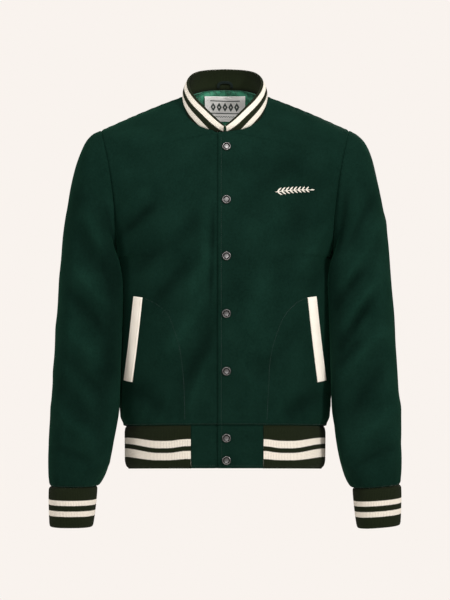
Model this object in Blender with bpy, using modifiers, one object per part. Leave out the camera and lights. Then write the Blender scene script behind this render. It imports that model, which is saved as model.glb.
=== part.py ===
"""Wool bomber jacket with striped rib-knit collar, cuffs and hem, snapped up the front.

The jacket keeps the hollow form of a worn garment.  +Z is up, +X is the wearer's left and the front
faces -Y.  The origin is midway between the two points where the shoulder seams meet the collar.
Tables and constants are in millimetres; meshes are written in metres.
"""

import math

import bmesh
import bpy
import numpy as np

MM = 0.001

# Cloth
WOOL = 2.0              # thickness of the wool shell
RIB = 2.8               # thickness of the folded rib knit, without its ribs
RIB_RISE = 0.7          # how far a rib stands above the groove beside it
RIB_PITCH = 6.2         # width of one rib and its groove
COLLAR_EDGE = 1.4       # thickness of the collar at its folded top edge
COLLAR_LEAN = 0.75      # how much the cloth beside the neckline faces up rather than outwards
LINING = 1.0
LEATHER = 1.5
SEAM = 0.17             # each piece stops this far short of a seam line
COLLAR_SEAM = 0.5       # the collar stops this far above the neckline
LIFT = 0.35             # gap under whatever lies on a panel

# Heights
HEM_SEAM = -561.0
HEM_RISE = 11.0         # the hem seam lies this much higher at the centre front
ARMPIT = -275.0
NECK_PIT = -62.0        # front of the neckline, at the centre
NECK_BACK = 17.0        # back of the neckline, at the centre

# Shape of the level sections
SIDE_SEAM_Y = 12.0
FRONT_Y = -60.0         # whatever lies further forward than this belongs to the front of the hem
SECTION_POWER = 2.55    # of the torso: 2 is an ellipse, more is squarer
RING_POWER = 0.88       # of the sleeves: 1 is an ellipse, less is squarer
SHOULDER_TURN = 62.0    # a row turns by this much less than a right angle at the shoulder tip
SHOULDER_CROWN = 2.0    # how far the shoulder seam arches up

# Front fastening
LAP = 12.0              # the upper front reaches this far past the centre, and so does the lower one
LAP_DROP = 0.8          # the top of the lap lies this much below the neckline
LAP_STEP = 2.6          # how much deeper the lower front lies under the upper one
LAP_BLEND = 10.0        # the lower front sinks to that depth over this width
SNAP_X = 2.5
SNAP_HEIGHTS = (-88.0, -176.5, -269.5, -364.5, -460.0)
TAB_SNAP_HEIGHTS = (-571.0, -608.0)
SNAP_STEPS = 16
TAB_END_LEFT = 64.0     # the upper hem tab ends here, on the wearer's left
TAB_END_RIGHT = 57.0    # the lower hem tab ends here, on the wearer's right

# Small pieces
WELT_WIDTH = 15.0
WELT_LIFT = 0.8
LABEL_HALF_WIDTH = 35.0
LABEL_HEIGHTS = (-40.0, 4.0)
LABEL_THICK = 0.8
LINING_BOTTOM_ROW = -10  # the neck lining covers the back panel's rows from here up to the shoulder
LINING_COLUMNS = 8
LOOP_HALF_WIDTH = 11.5
LOOP_FOOT = 17.6
LOOP_HEIGHT = 10.5      # from its feet to the middle of its tape at the top
LOOP_TAPE = (4.6, 1.2)  # width and thickness
LOOP_POWER = 0.8        # 1 is a round arch, less is squarer
LOOP_Y = 60.3           # back of the loop at its feet
LOOP_BOW = 1.1          # its feet follow the collar's curve by this much
LOOP_LEAN = 0.21        # how far the loop leans back for each millimetre up, along the collar

# Rows and columns of the panels
LOWER_HEIGHTS = (HEM_SEAM, -553.0, -545.0, -510.0, -465.0, -420.0, -370.0, -320.0)
FRONT_CENTRE_ROWS = 7   # rows between the armpit's level and the neck pit
FRONT_NECK_ROWS = 6     # stretches of the neckline on each front
BACK_NECK_ROWS = 4
HALF_COLUMNS = 12
LAP_COLUMNS = (0.0, 13.0, 23.0)   # columns of a front beside its edge, by distance from the centre
THETA_AT_PIT = 62.0     # armhole angle of the row that starts at the neck pit

SIDES = {"left": 1.0, "right": -1.0}


def table(columns, *rows):
    """A table of numbers as a dictionary from column name to array."""
    return dict(zip(columns.split(), np.array(rows, dtype=float).T))


# Torso outline by height: half width, and depth in front of and behind the shoulder line.
TORSO = table(
    "z half_width front back",
    (-561.0, 169.0, 117.0, 112.0),
    (-553.0, 173.5, 122.0, 117.0),
    (-540.0, 176.0, 125.0, 119.0),
    (-500.0, 178.5, 127.0, 118.0),
    (-420.0, 181.5, 129.0, 116.0),
    (-340.0, 184.0, 132.0, 120.0),
    (-275.0, 183.0, 133.0, 126.0),
    (-200.0, 183.0, 128.0, 129.0),
    (-130.0, 183.0, 112.0, 124.0),
    (-62.0, 183.0, 83.0, 110.0),
    (-20.0, 183.0, 70.0, 91.0),
    (17.0, 183.0, 60.0, 64.0),
)

# Collar by angle from the centre back: the neckline it is sewn to, and its top edge.
COLLAR = table(
    "angle base_x base_y base_z top_x top_y top_z",
    (0.0, 0.0, 64.0, 17.0, 0.0, 58.0, 50.0),
    (22.5, 31.0, 60.0, 15.5, 28.5, 55.0, 48.5),
    (45.0, 55.0, 47.0, 9.5, 48.5, 43.5, 44.5),
    (67.5, 68.5, 27.0, 2.5, 59.5, 26.0, 37.5),
    (90.0, 72.0, 4.0, 0.0, 63.5, 6.0, 28.0),
    (105.0, 71.0, -14.0, -9.5, 63.0, -11.0, 18.5),
    (120.0, 67.3, -31.0, -23.5, 58.5, -30.0, 7.0),
    (135.0, 59.5, -48.0, -39.5, 47.5, -48.0, -8.0),
    (150.0, 44.5, -64.0, -51.0, 32.5, -66.0, -23.5),
    (165.0, 25.0, -76.0, -58.5, 16.5, -79.5, -39.5),
    (180.0, 0.0, -83.0, -62.0, 0.0, -89.0, -54.0),
)

# Sleeve by section: the outer and inner ends of each ring, its centre and half depth front to back,
# how far the armhole scoops in at its middle, and how far the ring keeps off the torso.
SLEEVE = table(
    "outer_x outer_z inner_x inner_z centre_y half_depth scoop clear",
    (210.0, -57.0, 183.0, -275.0, 10.0, 80.0, 9.0, 0.0),
    (224.0, -64.0, 186.5, -281.0, 7.0, 82.0, 5.0, 2.4),
    (237.0, -78.0, 186.0, -288.0, 4.0, 83.5, 2.0, 2.2),
    (249.0, -105.0, 184.0, -298.0, 1.0, 84.0, 0.0, 2.0),
    (259.0, -143.0, 182.0, -312.0, -2.0, 83.5, 0.0, 2.0),
    (267.5, -188.0, 180.0, -332.0, -6.0, 82.0, 0.0, 2.0),
    (274.5, -238.0, 179.0, -358.0, -10.0, 80.0, 0.0, 2.0),
    (279.5, -296.0, 179.0, -390.0, -15.0, 77.5, 0.0, 2.0),
    (283.7, -358.0, 180.0, -427.0, -20.0, 74.0, 0.0, 2.0),
    (287.7, -424.0, 181.0, -470.0, -25.0, 70.0, 0.0, 2.0),
    (292.3, -492.0, 182.0, -517.0, -30.0, 65.0, 0.0, 2.0),
    (296.3, -556.0, 185.5, -566.0, -34.0, 60.0, 0.0, 2.0),
    (298.0, -607.0, 194.0, -609.0, -37.0, 55.0, 0.0, 2.0),
    (297.5, -637.5, 205.0, -637.5, -39.0, 50.0, 0.0, 2.0),
    (296.0, -651.0, 211.5, -651.0, -40.0, 46.5, 0.0, 2.0),
    (294.0, -657.5, 216.5, -657.5, -40.5, 42.0, 0.0, 2.0),
)

# Cuff rings below the sleeve's end.
CUFF = table(
    "drop outer_x inner_x half_depth",
    (0.0, 294.0, 216.5, 42.0),
    (6.0, 296.5, 216.0, 43.5),
    (38.0, 296.5, 219.0, 42.0),
    (63.0, 295.5, 222.5, 39.0),
    (67.5, 294.5, 224.0, 38.0),
)
CUFF_TILT = {"left": 3.0, "right": 0.0}   # the outer end of the cuff lies this much higher than the middle
CUFF_TILT_HEIGHTS = (-600.0, -655.0)      # the sleeve takes up the tilt between these heights

# Profile of the collar from its seam to its top edge: how far it stands out at each share of its height.
COLLAR_ROLL = table(
    "share swell",
    (0.0, 0.0),
    (0.45, 2.2),
    (0.93, 0.4),
    (1.0, -0.9),
)

# Rib band below the hem: how far it stands out from the hem line at each drop.
HEM_BAND = table(
    "drop swell",
    (0.0, 0.0),
    (10.0, 1.6),
    (58.0, 1.2),
    (71.5, -1.6),
)

# Middle line of a pocket welt on the wearer's left, top to bottom.
WELT = table(
    "share x z",
    (0.0, 144.5, -338.0),
    (0.5, 152.5, -408.0),
    (1.0, 162.0, -480.0),
)

# Turned outline of a snap cap, from the middle of its face out to its rim and in again at the back.
SNAP_PROFILE = table(
    "radius height",
    (0.0, 1.7),
    (4.6, 1.9),
    (5.4, 2.6),
    (6.6, 2.6),
    (7.5, 1.2),
    (7.1, 0.0),
    (0.0, 0.0),
)

# Largest folds: a ridge (or trough, if low) between two points seen from the front, on one piece.
FOLDS = {
    "front_left": table(
        "x0 z0 x1 z1 width height",
        (165.0, -500.0, 95.0, -535.0, 20.0, -3.0),
        (70.0, -300.0, 25.0, -400.0, 24.0, 2.5),
        (150.0, -150.0, 110.0, -235.0, 24.0, -2.5),
    ),
    "front_right": table(
        "x0 z0 x1 z1 width height",
        (-165.0, -180.0, -95.0, -255.0, 18.0, -4.0),
        (-110.0, -330.0, -25.0, -235.0, 22.0, 3.5),
        (-62.0, -430.0, -28.0, -340.0, 18.0, -3.0),
        (-165.0, -490.0, -90.0, -535.0, 20.0, -3.0),
    ),
    "back": table(
        "x0 z0 x1 z1 width height",
        (-150.0, -215.0, -60.0, -300.0, 24.0, -4.0),
        (150.0, -215.0, 60.0, -300.0, 24.0, -4.0),
        (-120.0, -520.0, 20.0, -490.0, 20.0, 3.5),
        (130.0, -470.0, 40.0, -520.0, 22.0, 3.5),
    ),
    "sleeve_left": table(
        "x0 z0 x1 z1 width height",
        (205.0, -330.0, 262.0, -250.0, 16.0, -4.0),
        (200.0, -430.0, 270.0, -350.0, 18.0, 4.0),
        (230.0, -520.0, 282.0, -455.0, 18.0, -3.5),
    ),
    "sleeve_right": table(
        "x0 z0 x1 z1 width height",
        (-205.0, -300.0, -245.0, -225.0, 16.0, -4.0),
        (-205.0, -450.0, -268.0, -385.0, 18.0, 3.5),
        (-235.0, -540.0, -280.0, -480.0, 18.0, -3.5),
    ),
}

COLOURS = {
    # name: colour, roughness, metallic
    "wool": ((0.010, 0.034, 0.022, 1.0), 0.95, 0.0),
    "rib": ((0.020, 0.022, 0.016, 1.0), 0.90, 0.0),
    "satin": ((0.040, 0.230, 0.130, 1.0), 0.40, 0.0),
    "leather": ((0.800, 0.740, 0.640, 1.0), 0.60, 0.0),
    "woven_label": ((0.700, 0.660, 0.620, 1.0), 0.80, 0.0),
    "tape": ((0.010, 0.018, 0.014, 1.0), 0.90, 0.0),
    "pewter": ((0.230, 0.210, 0.200, 1.0), 0.42, 1.0),
}


def curve(rows, key, column, at):
    """A table's column as a smooth cubic through its rows, sloped at each row like its neighbours."""
    keys, values = rows[key], rows[column]
    order = np.argsort(keys)
    keys, values = keys[order], values[order]
    slopes = np.empty_like(values)
    slopes[1:-1] = (values[2:] - values[:-2]) / (keys[2:] - keys[:-2])
    slopes[0] = (values[1] - values[0]) / (keys[1] - keys[0])
    slopes[-1] = (values[-1] - values[-2]) / (keys[-1] - keys[-2])
    at = np.asarray(at, dtype=float)
    i = np.clip(np.searchsorted(keys, at, side="right") - 1, 0, len(keys) - 2)
    step = keys[i + 1] - keys[i]
    u = np.clip((at - keys[i]) / step, 0.0, 1.0)
    return (
        (2 * u**3 - 3 * u**2 + 1) * values[i]
        + (u**3 - 2 * u**2 + u) * step * slopes[i]
        + (3 * u**2 - 2 * u**3) * values[i + 1]
        + (u**3 - u**2) * step * slopes[i + 1]
    )


def unit(vectors):
    return vectors / np.maximum(np.linalg.norm(vectors, axis=-1, keepdims=True), 1e-9)


def smoothstep(low, high, x):
    u = np.clip((x - low) / (high - low), 0.0, 1.0)
    return u * u * (3 - 2 * u)


def flip_x(points):
    return points * np.array([-1.0, 1.0, 1.0])


def power(x, exponent):
    return np.sign(x) * np.abs(x) ** exponent


def torso_x(y, z):
    """Half width of the torso at a depth and height below the armpits."""
    width = curve(TORSO, "z", "half_width", z)
    front = curve(TORSO, "z", "front", z) + SIDE_SEAM_Y
    back = curve(TORSO, "z", "back", z) - SIDE_SEAM_Y
    depth = np.where(y < SIDE_SEAM_Y, front, back)
    ratio = np.clip(np.abs(y - SIDE_SEAM_Y) / depth, 0.0, 1.0)
    return width * (1 - ratio**SECTION_POWER) ** (1 / SECTION_POWER)


def neckline(angle):
    return np.stack([curve(COLLAR, "angle", "base_" + axis, angle) for axis in "xyz"], axis=-1)


def collar_top(angle):
    return np.stack([curve(COLLAR, "angle", "top_" + axis, angle) for axis in "xyz"], axis=-1)


def sleeve_ring(row, theta):
    """Ring of the sleeve: theta is 0 at the outer end, 90 at the front, 180 at the inner end."""
    at = {column: float(SLEEVE[column][row]) for column in SLEEVE}
    cosine, sine = np.cos(np.radians(theta)), np.sin(np.radians(theta))
    x = (at["outer_x"] + at["inner_x"]) / 2 + (at["outer_x"] - at["inner_x"]) / 2 * power(cosine, RING_POWER)
    z = (at["outer_z"] + at["inner_z"]) / 2 + (at["outer_z"] - at["inner_z"]) / 2 * power(cosine, RING_POWER)
    x = x - at["scoop"] * sine**2
    y = at["centre_y"] - at["half_depth"] * power(sine, RING_POWER)
    if row:
        x = np.where(z < ARMPIT, np.maximum(x, torso_x(y, z) + at["clear"]), x)
    return np.stack([x, y, z], axis=-1)


def armhole(theta):
    return sleeve_ring(0, theta)


def armhole_angles():
    """Angles of the armhole points, from the underarm up to the shoulder tip."""
    below = np.linspace(180.0, THETA_AT_PIT, FRONT_CENTRE_ROWS + 1)
    above = np.linspace(THETA_AT_PIT, 0.0, FRONT_NECK_ROWS + 2)
    return np.concatenate([below, above[1:]])


def panel_rows(front):
    """Start point, end point and turn of every row of half a front or half a back, hem to shoulder."""
    heights = np.array(LOWER_HEIGHTS + (ARMPIT,))
    thetas = armhole_angles()[1:]
    if front:
        column, sign, top, lift = "front", -1.0, NECK_PIT - LAP_DROP, HEM_RISE
        neck = neckline(np.linspace(180.0, 90.0, FRONT_NECK_ROWS + 1))
    else:
        column, sign, top, lift = "back", 1.0, NECK_BACK, 0.0
        neck = neckline(np.linspace(0.0, 90.0, BACK_NECK_ROWS + 1)[1:])
    centre_rows = len(thetas) - len(neck)
    centre = np.concatenate([
        heights + lift * (ARMPIT - heights) / (ARMPIT - HEM_SEAM),
        np.linspace(ARMPIT, top, centre_rows + 1)[1:],
    ])
    start = np.stack([0 * centre, sign * curve(TORSO, "z", column, centre), centre], axis=-1)
    start = np.concatenate([start, neck])
    side = np.stack(
        [curve(TORSO, "z", "half_width", heights), 0 * heights + SIDE_SEAM_Y, heights], axis=-1
    )
    end = np.concatenate([side, armhole(thetas if front else 360.0 - thetas)])
    rise = (180.0 - thetas) / 180.0
    turn = np.concatenate([0 * heights + 90.0, 90.0 - SHOULDER_TURN * smoothstep(0.0, 0.8, rise)])
    crown = np.concatenate([0 * heights, SHOULDER_CROWN * rise])
    return start, end, turn, crown


def half_panel(front, lap=0.0):
    """Grid of half a panel: rows hem to shoulder, columns from the centre out to the side.

    Each row is an arc between its two ends: part of a superellipse quadrant, scaled to fit, which
    leaves the centre square to it and has turned by the row's angle where it ends.
    """
    start, end, turn, crown = panel_rows(front)
    span = end - start
    exponent = 2 / SECTION_POWER
    phi_end = np.radians(turn)[:, None]
    full = np.sin(phi_end) ** exponent
    if lap:
        beside = np.array(LAP_COLUMNS) / span[:, :1]
        first = np.arcsin((beside * full) ** (1 / exponent))
        rest = np.linspace(0.0, 1.0, HALF_COLUMNS - len(LAP_COLUMNS) + 1)[1:]
        phi = np.concatenate([0 * phi_end, first, first[:, -1:] + (phi_end - first[:, -1:]) * rest], axis=1)
    else:
        phi = phi_end * np.linspace(0.0, 1.0, HALF_COLUMNS + 1)
    run = np.sin(phi) ** exponent / full
    bend = (1 - np.cos(phi) ** exponent) / (1 - np.cos(phi_end) ** exponent)
    x = start[:, None, 0] + span[:, None, 0] * run
    y = start[:, None, 1] + span[:, None, 1] * bend
    below_armhole = np.arange(len(start))[:, None] < len(LOWER_HEIGHTS)
    climb = np.where(below_armhole, bend, run)
    z = start[:, None, 2] + span[:, None, 2] * climb + (4 * run * (1 - run)) * crown[:, None]
    grid = np.stack([x, y, z], axis=-1)
    if lap:
        centre_rows = len(start) - FRONT_NECK_ROWS - 1
        share = lap / LAP_COLUMNS[1]
        grid[:centre_rows, 0] = flip_x(grid[:, 1] + share * (grid[:, 2] - grid[:, 1]))[:centre_rows]
        grid[centre_rows:, 1] = (grid[centre_rows:, 0] + grid[centre_rows:, 2]) / 2
    return grid


def normals(grid, wrap=False):
    """Unit normals of a grid, from the differences of neighbouring points."""
    if wrap:
        across = np.roll(grid, -1, axis=1) - np.roll(grid, 1, axis=1)
    else:
        across = np.gradient(grid, axis=1)
    up = np.gradient(grid, axis=0)
    return unit(np.cross(across, up))


def fold_relief(name, grid):
    """Height of the piece's folds at each point: a soft ridge along each segment, faded at its ends."""
    relief = np.zeros(grid.shape[:2])
    rows = FOLDS.get(name)
    if rows is None:
        return relief
    for x0, z0, x1, z1, width, height in zip(*rows.values()):
        along = np.array([x1 - x0, z1 - z0])
        length = np.linalg.norm(along)
        along = along / length
        dx, dz = grid[..., 0] - x0, grid[..., 2] - z0
        s = (dx * along[0] + dz * along[1]) / length
        across = -dx * along[1] + dz * along[0]
        ends = smoothstep(-0.25, 0.25, s) * smoothstep(1.25, 0.75, s)
        relief += height * np.exp(-((across / width) ** 2)) * ends
    edge = np.ones(grid.shape[:2])
    edge[0] = edge[-1] = edge[:, -1] = 0.0
    if name.startswith("front"):
        edge *= smoothstep(LAP, LAP + 2 * LAP_BLEND, np.abs(grid[..., 0]))
    return relief * edge


def material(name):
    made = bpy.data.materials.get(name)
    if made:
        return made
    made = bpy.data.materials.new(name)
    made.use_nodes = True
    colour, roughness, metallic = COLOURS[name]
    shader = made.node_tree.nodes["Principled BSDF"]
    shader.inputs["Base Color"].default_value = colour
    shader.inputs["Roughness"].default_value = roughness
    shader.inputs["Metallic"].default_value = metallic
    return made


def add_object(name, points, faces, material_name, collection):
    """One named object with its own material, from points in millimetres."""
    mesh = bpy.data.meshes.new(name)
    mesh.from_pydata((points * MM).tolist(), [], faces)
    shape = bmesh.new()
    shape.from_mesh(mesh)
    bmesh.ops.recalc_face_normals(shape, faces=shape.faces)
    shape.to_mesh(mesh)
    shape.free()
    mesh.shade_smooth()
    mesh.set_sharp_from_angle(angle=math.radians(40.0))
    own = material(material_name).copy()
    own.name = name + "_" + material_name
    mesh.materials.append(own)
    made = bpy.data.objects.new(name, mesh)
    collection.objects.link(made)
    return made


def wall(name, outer, inner, material_name, collection, wrap=False, open_rows=0):
    """Closed wall between an outer grid and an inner one.

    The inner grid may be coarser: then its columns fall on every k-th outer column, and its rows are
    the first and the last.  The first column can be left open over some rows, for a mirror.
    """
    rows, columns = outer.shape[:2]
    inner_rows, inner_columns = inner.shape[:2]
    spans = columns if wrap else columns - 1
    inner_spans = inner_columns if wrap else inner_columns - 1
    ratio = spans // inner_spans
    base = rows * columns

    def out(row, column):
        return row * columns + column % columns

    def ins(row, column):
        return base + row * inner_columns + column % inner_columns

    faces = [
        (out(r, c), out(r, c + 1), out(r + 1, c + 1), out(r + 1, c))
        for r in range(rows - 1)
        for c in range(spans)
    ]
    faces += [
        (ins(r, c), ins(r + 1, c), ins(r + 1, c + 1), ins(r, c + 1))
        for r in range(inner_rows - 1)
        for c in range(inner_spans)
    ]
    for c in range(inner_spans):
        run = range(c * ratio, (c + 1) * ratio + 1)
        faces.append([ins(0, c), ins(0, c + 1)] + [out(0, k) for k in reversed(run)])
        faces.append([ins(inner_rows - 1, c + 1), ins(inner_rows - 1, c)] + [out(rows - 1, k) for k in run])
    if not wrap and inner_rows == rows:
        last = columns - 1
        for r in range(rows - 1):
            if r >= open_rows:
                faces.append((out(r, 0), out(r + 1, 0), ins(r + 1, 0), ins(r, 0)))
            faces.append((out(r + 1, last), out(r, last), ins(r, last), ins(r + 1, last)))
    elif not wrap:
        last, inner_last = columns - 1, inner_columns - 1
        faces.append([ins(0, 0)] + [out(r, 0) for r in range(rows)] + [ins(inner_rows - 1, 0)])
        faces.append(
            [ins(inner_rows - 1, inner_last)] + [out(r, last) for r in reversed(range(rows))] + [ins(0, inner_last)]
        )
    points = np.concatenate([outer.reshape(-1, 3), inner.reshape(-1, 3)])
    return add_object(name, points, faces, material_name, collection)


def pull(outer, inner, which, direction):
    """Draws one edge of a wall back from its seam, by the seam gap along a direction."""
    outer[which] += SEAM * direction
    inner[which] += SEAM * direction


def inward(grid, edge):
    """Unit vectors along the cloth from an edge row or column of a grid to its neighbour."""
    pairs = {"bottom": (grid[1], grid[0]), "top": (grid[-2], grid[-1])}
    pairs["first"] = (grid[:, 1], grid[:, 0])
    pairs["last"] = (grid[:, -2], grid[:, -1])
    near, at = pairs[edge]
    return unit(near - at)


def neck_frame(angle):
    """Shared normal and rise direction along the neckline, for the collar and the panels below it."""
    angle = np.asarray(angle, dtype=float)
    ahead, behind = neckline(np.minimum(angle + 2.0, 180.0)), neckline(np.maximum(angle - 2.0, 0.0))
    tangent = unit(ahead - behind)
    tangent[angle < 1.0] = (1.0, 0.0, 0.0)
    tangent[angle > 179.0] = (-1.0, 0.0, 0.0)
    flat = np.stack([-tangent[..., 1], tangent[..., 0], 0 * tangent[..., 0]], axis=-1)
    outward = unit(flat) + np.array([0.0, 0.0, COLLAR_LEAN])
    normal = unit(outward - np.sum(outward * tangent, axis=-1, keepdims=True) * tangent)
    rise = unit(np.cross(tangent, normal))
    rise = rise * np.sign(rise[..., 2:3])
    return normal, rise


def dress_panels():
    """The half grids of front and back with their normals, which agree along the seams they share."""
    thetas = armhole_angles()
    first_armhole = len(LOWER_HEIGHTS)
    grids = {"front": half_panel(True, LAP), "back": half_panel(False)}
    shaded = {"front": normals(grids["front"]), "back": -normals(grids["back"])}
    shaded["back"][:, 0] = unit(shaded["back"][:, 0] * (0.0, 1.0, 1.0))
    for row in range(first_armhole):
        shared = unit(shaded["front"][row, -1] + shaded["back"][row, -1])
        shaded["front"][row, -1] = shaded["back"][row, -1] = shared
    shared = unit(shaded["front"][-1] + shaded["back"][-1])
    shaded["front"][-1] = shaded["back"][-1] = shared
    for name, sign in (("front", 1.0), ("back", -1.0)):
        ring = armhole(thetas if name == "front" else 360.0 - thetas)
        radial = ring - np.array([0.0, SLEEVE["centre_y"][0], (SLEEVE["outer_z"][0] + SLEEVE["inner_z"][0]) / 2])
        radial[:, 0] = 0.0
        shaded[name][first_armhole:, -1] = unit(radial)
        flat = shaded[name][0] * (1.0, 1.0, 0.0)
        shaded[name][0] = unit(flat)
        neck_rows = FRONT_NECK_ROWS if sign > 0 else BACK_NECK_ROWS
        angles = np.linspace(180.0 if sign > 0 else 0.0, 90.0, neck_rows + 1)
        shaded[name][-neck_rows - 1:, 0] = neck_frame(angles)[0]
        beside = shaded[name][-neck_rows - 1:, :2]
        shaded[name][-neck_rows - 1:, 1] = unit(beside[:, 0] + beside[:, 1])
    return grids, shaded


def trim_panel(outer, inner, grid, neck_rows, front):
    """Draws the edges of a half panel back from hem, side seam, armhole, shoulder and neckline."""
    first_armhole = len(LOWER_HEIGHTS)
    up, towards_centre = np.array([0.0, 0.0, 1.0]), np.array([-1.0, 0.0, 0.0])
    pull(outer, inner, (0, slice(None)), up)
    side = inward(grid, "last")
    side[first_armhole] += towards_centre
    side[first_armhole + 1:] = towards_centre
    pull(outer, inner, (slice(None), -1), side)
    pull(outer, inner, (-1, slice(None)), inward(grid, "top"))
    angles = np.linspace(180.0 if front else 0.0, 90.0, neck_rows + 1)
    pull(outer, inner, (slice(-neck_rows - 1, None), 0), -neck_frame(angles)[1])


def front_surface(side, grids, shaded):
    """Outer grid of one front, mirrored to its side, with its folds and its lap."""
    name = "front_" + side
    grid, normal = grids["front"].copy(), shaded["front"]
    if side == "right":
        under = 1 - smoothstep(LAP + 1.0, LAP + 1.0 + LAP_BLEND, grid[..., 0])
        grid[..., 1] += LAP_STEP * under
        top = slice(-FRONT_NECK_ROWS - 2, None)
        grid[top, :, 2] -= LAP_STEP * under[top]
    mirrored = grid * np.array([SIDES[side], 1.0, 1.0])
    return grid + fold_relief(name, mirrored)[..., None] * normal


def build_fronts(collection, grids, shaded):
    for side, sign in SIDES.items():
        grid = front_surface(side, grids, shaded)
        outer = grid.copy()
        inner = grid - WOOL * shaded["front"]
        trim_panel(outer, inner, grid, FRONT_NECK_ROWS, True)
        mirror = np.array([sign, 1.0, 1.0])
        wall("front_" + side, outer * mirror, inner * mirror, "wool", collection)


def add_mirror(made):
    """Mirrors a half that is open at the middle, and joins it there."""
    mirror = made.modifiers.new("Mirror", "MIRROR")
    mirror.use_axis = (True, False, False)
    mirror.use_clip = True
    mirror.merge_threshold = 0.0001


def build_back(collection, grids, shaded):
    grid, normal = grids["back"], shaded["back"]
    relief = fold_relief("back", grid)
    relief[:, 0] = relief[:, 1] * (grid[:, 0, 0] < 1e-6)
    relief[0] = relief[-BACK_NECK_ROWS - 1:, 0] = 0.0
    outer = grid + relief[..., None] * normal
    inner = outer - WOOL * normal
    trim_panel(outer, inner, grid, BACK_NECK_ROWS, False)
    open_rows = len(grid) - BACK_NECK_ROWS - 1
    add_mirror(wall("back", outer, inner, "wool", collection, open_rows=open_rows))


def cuff_shift(side, x):
    """How much higher a point of the sleeve's end lies on a tilted cuff."""
    outer, inner = SLEEVE["outer_x"][-1], SLEEVE["inner_x"][-1]
    return CUFF_TILT[side] * (x - (outer + inner) / 2) / ((outer - inner) / 2)


def ring_angles():
    below = armhole_angles()
    return np.concatenate([below[::-1], 360.0 - below[1:-1]])


def sleeve_surface(side):
    """Outer rings of one sleeve on the wearer's left, armhole to cuff, folded for its side."""
    thetas = ring_angles()
    grid = np.stack([sleeve_ring(row, thetas) for row in range(len(SLEEVE["outer_x"]))])
    near_cuff = smoothstep(*CUFF_TILT_HEIGHTS, grid[..., 2])
    grid[..., 2] += near_cuff * cuff_shift(side, grid[..., 0])
    shade = normals(grid, wrap=True)
    centre = np.array([0.0, SLEEVE["centre_y"][0], (SLEEVE["outer_z"][0] + SLEEVE["inner_z"][0]) / 2])
    radial = grid[0] - centre
    radial[:, 0] = 0.0
    shade[0] = unit(radial)
    shade[-1] = unit(shade[-1] * (1.0, 1.0, 0.0))
    mirrored = grid * np.array([SIDES[side], 1.0, 1.0])
    relief = fold_relief("sleeve_" + side, mirrored) * (shade[..., 0] > -0.3)
    relief[:, 0] = (relief[:, 1] + relief[:, -1]) / 2
    relief[0] = relief[-1] = 0.0
    return grid + relief[..., None] * shade, shade


def build_sleeves(collection):
    for side, sign in SIDES.items():
        grid, shade = sleeve_surface(side)
        outer, inner = grid.copy(), grid - WOOL * shade
        pull(outer, inner, 0, np.array([1.0, 0.0, 0.0]))
        pull(outer, inner, -1, np.array([0.0, 0.0, 1.0]))
        mirror = np.array([sign, 1.0, 1.0])
        wall("sleeve_" + side, outer * mirror, inner * mirror, "wool", collection, wrap=True)


def resample(points, count, closed=False):
    """Count + 1 points (or count, if closed) equally spaced along a line of straight stretches."""
    if closed:
        points = np.concatenate([points, points[:1]])
    lengths = np.linalg.norm(np.diff(points, axis=0), axis=1)
    along = np.concatenate([[0.0], np.cumsum(lengths)])
    at = np.linspace(0.0, along[-1], count + 1)
    made = np.stack([np.interp(at, along, points[:, axis]) for axis in range(3)], axis=-1)
    return made[:-1] if closed else made


def line_length(points):
    return float(np.sum(np.linalg.norm(np.diff(points, axis=0), axis=1)))


def rib_count(length):
    """Even number of ribs that fills a length at the rib pitch."""
    return 2 * max(1, round(length / RIB_PITCH / 2))


def ribbed(grid, shade):
    """The same grid with every second column raised as the crest of a rib."""
    raised = grid.copy()
    raised[:, 1::2] += RIB_RISE * shade[:, 1::2]
    return raised


def hem_line(grids):
    """Hem seam line from the centre front round the wearer's left, back and right to the front again."""
    front, back = grids["front"][0, 1:], grids["back"][0]
    left = np.concatenate([front, back[-2::-1]])
    return np.concatenate([left, flip_x(left)[-2::-1]])


def between(line, x_from, x_to, bend=()):
    """The front of the hem line between two positions across, from right to left, with points added at a bend."""
    front = line[line[:, 1] < FRONT_Y]
    front = front[np.argsort(front[:, 0])]
    inside = front[(front[:, 0] > x_from + SEAM) & (front[:, 0] < x_to - SEAM), 0]
    x = np.unique(np.concatenate([[x_from, x_to], inside, bend]))
    return np.stack([np.interp(x, front[:, 0], front[:, axis]) for axis in range(3)], axis=-1)


def flat_outward(line):
    """Level unit vectors square to a hem line that runs round the body against the clock from above."""
    tangent = unit(np.gradient(line, axis=0))
    return unit(np.stack([tangent[:, 1], -tangent[:, 0], 0 * tangent[:, 0]], axis=-1))


def band_rows(line, outward, drops, swells):
    """Rows below a line, each moved out by its swell, bottom row first."""
    rows = []
    for drop, swell in zip(drops[::-1], swells[::-1]):
        rows.append(line + swell * outward - np.array([0.0, 0.0, drop]))
    return np.stack(rows)


def build_hem_tab(name, part, sink, drops, swells, collection):
    """A wool tab below a stretch of the hem line, each point sunk to its depth under the other tab."""
    outward = flat_outward(part)
    deeper = np.stack([0 * sink, sink, 0 * sink], axis=-1)
    outer = band_rows(part, outward, drops, swells) + deeper
    inner = band_rows(part, outward, drops, swells - WOOL) + deeper
    wall(name, outer, inner, "wool", collection)


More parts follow.
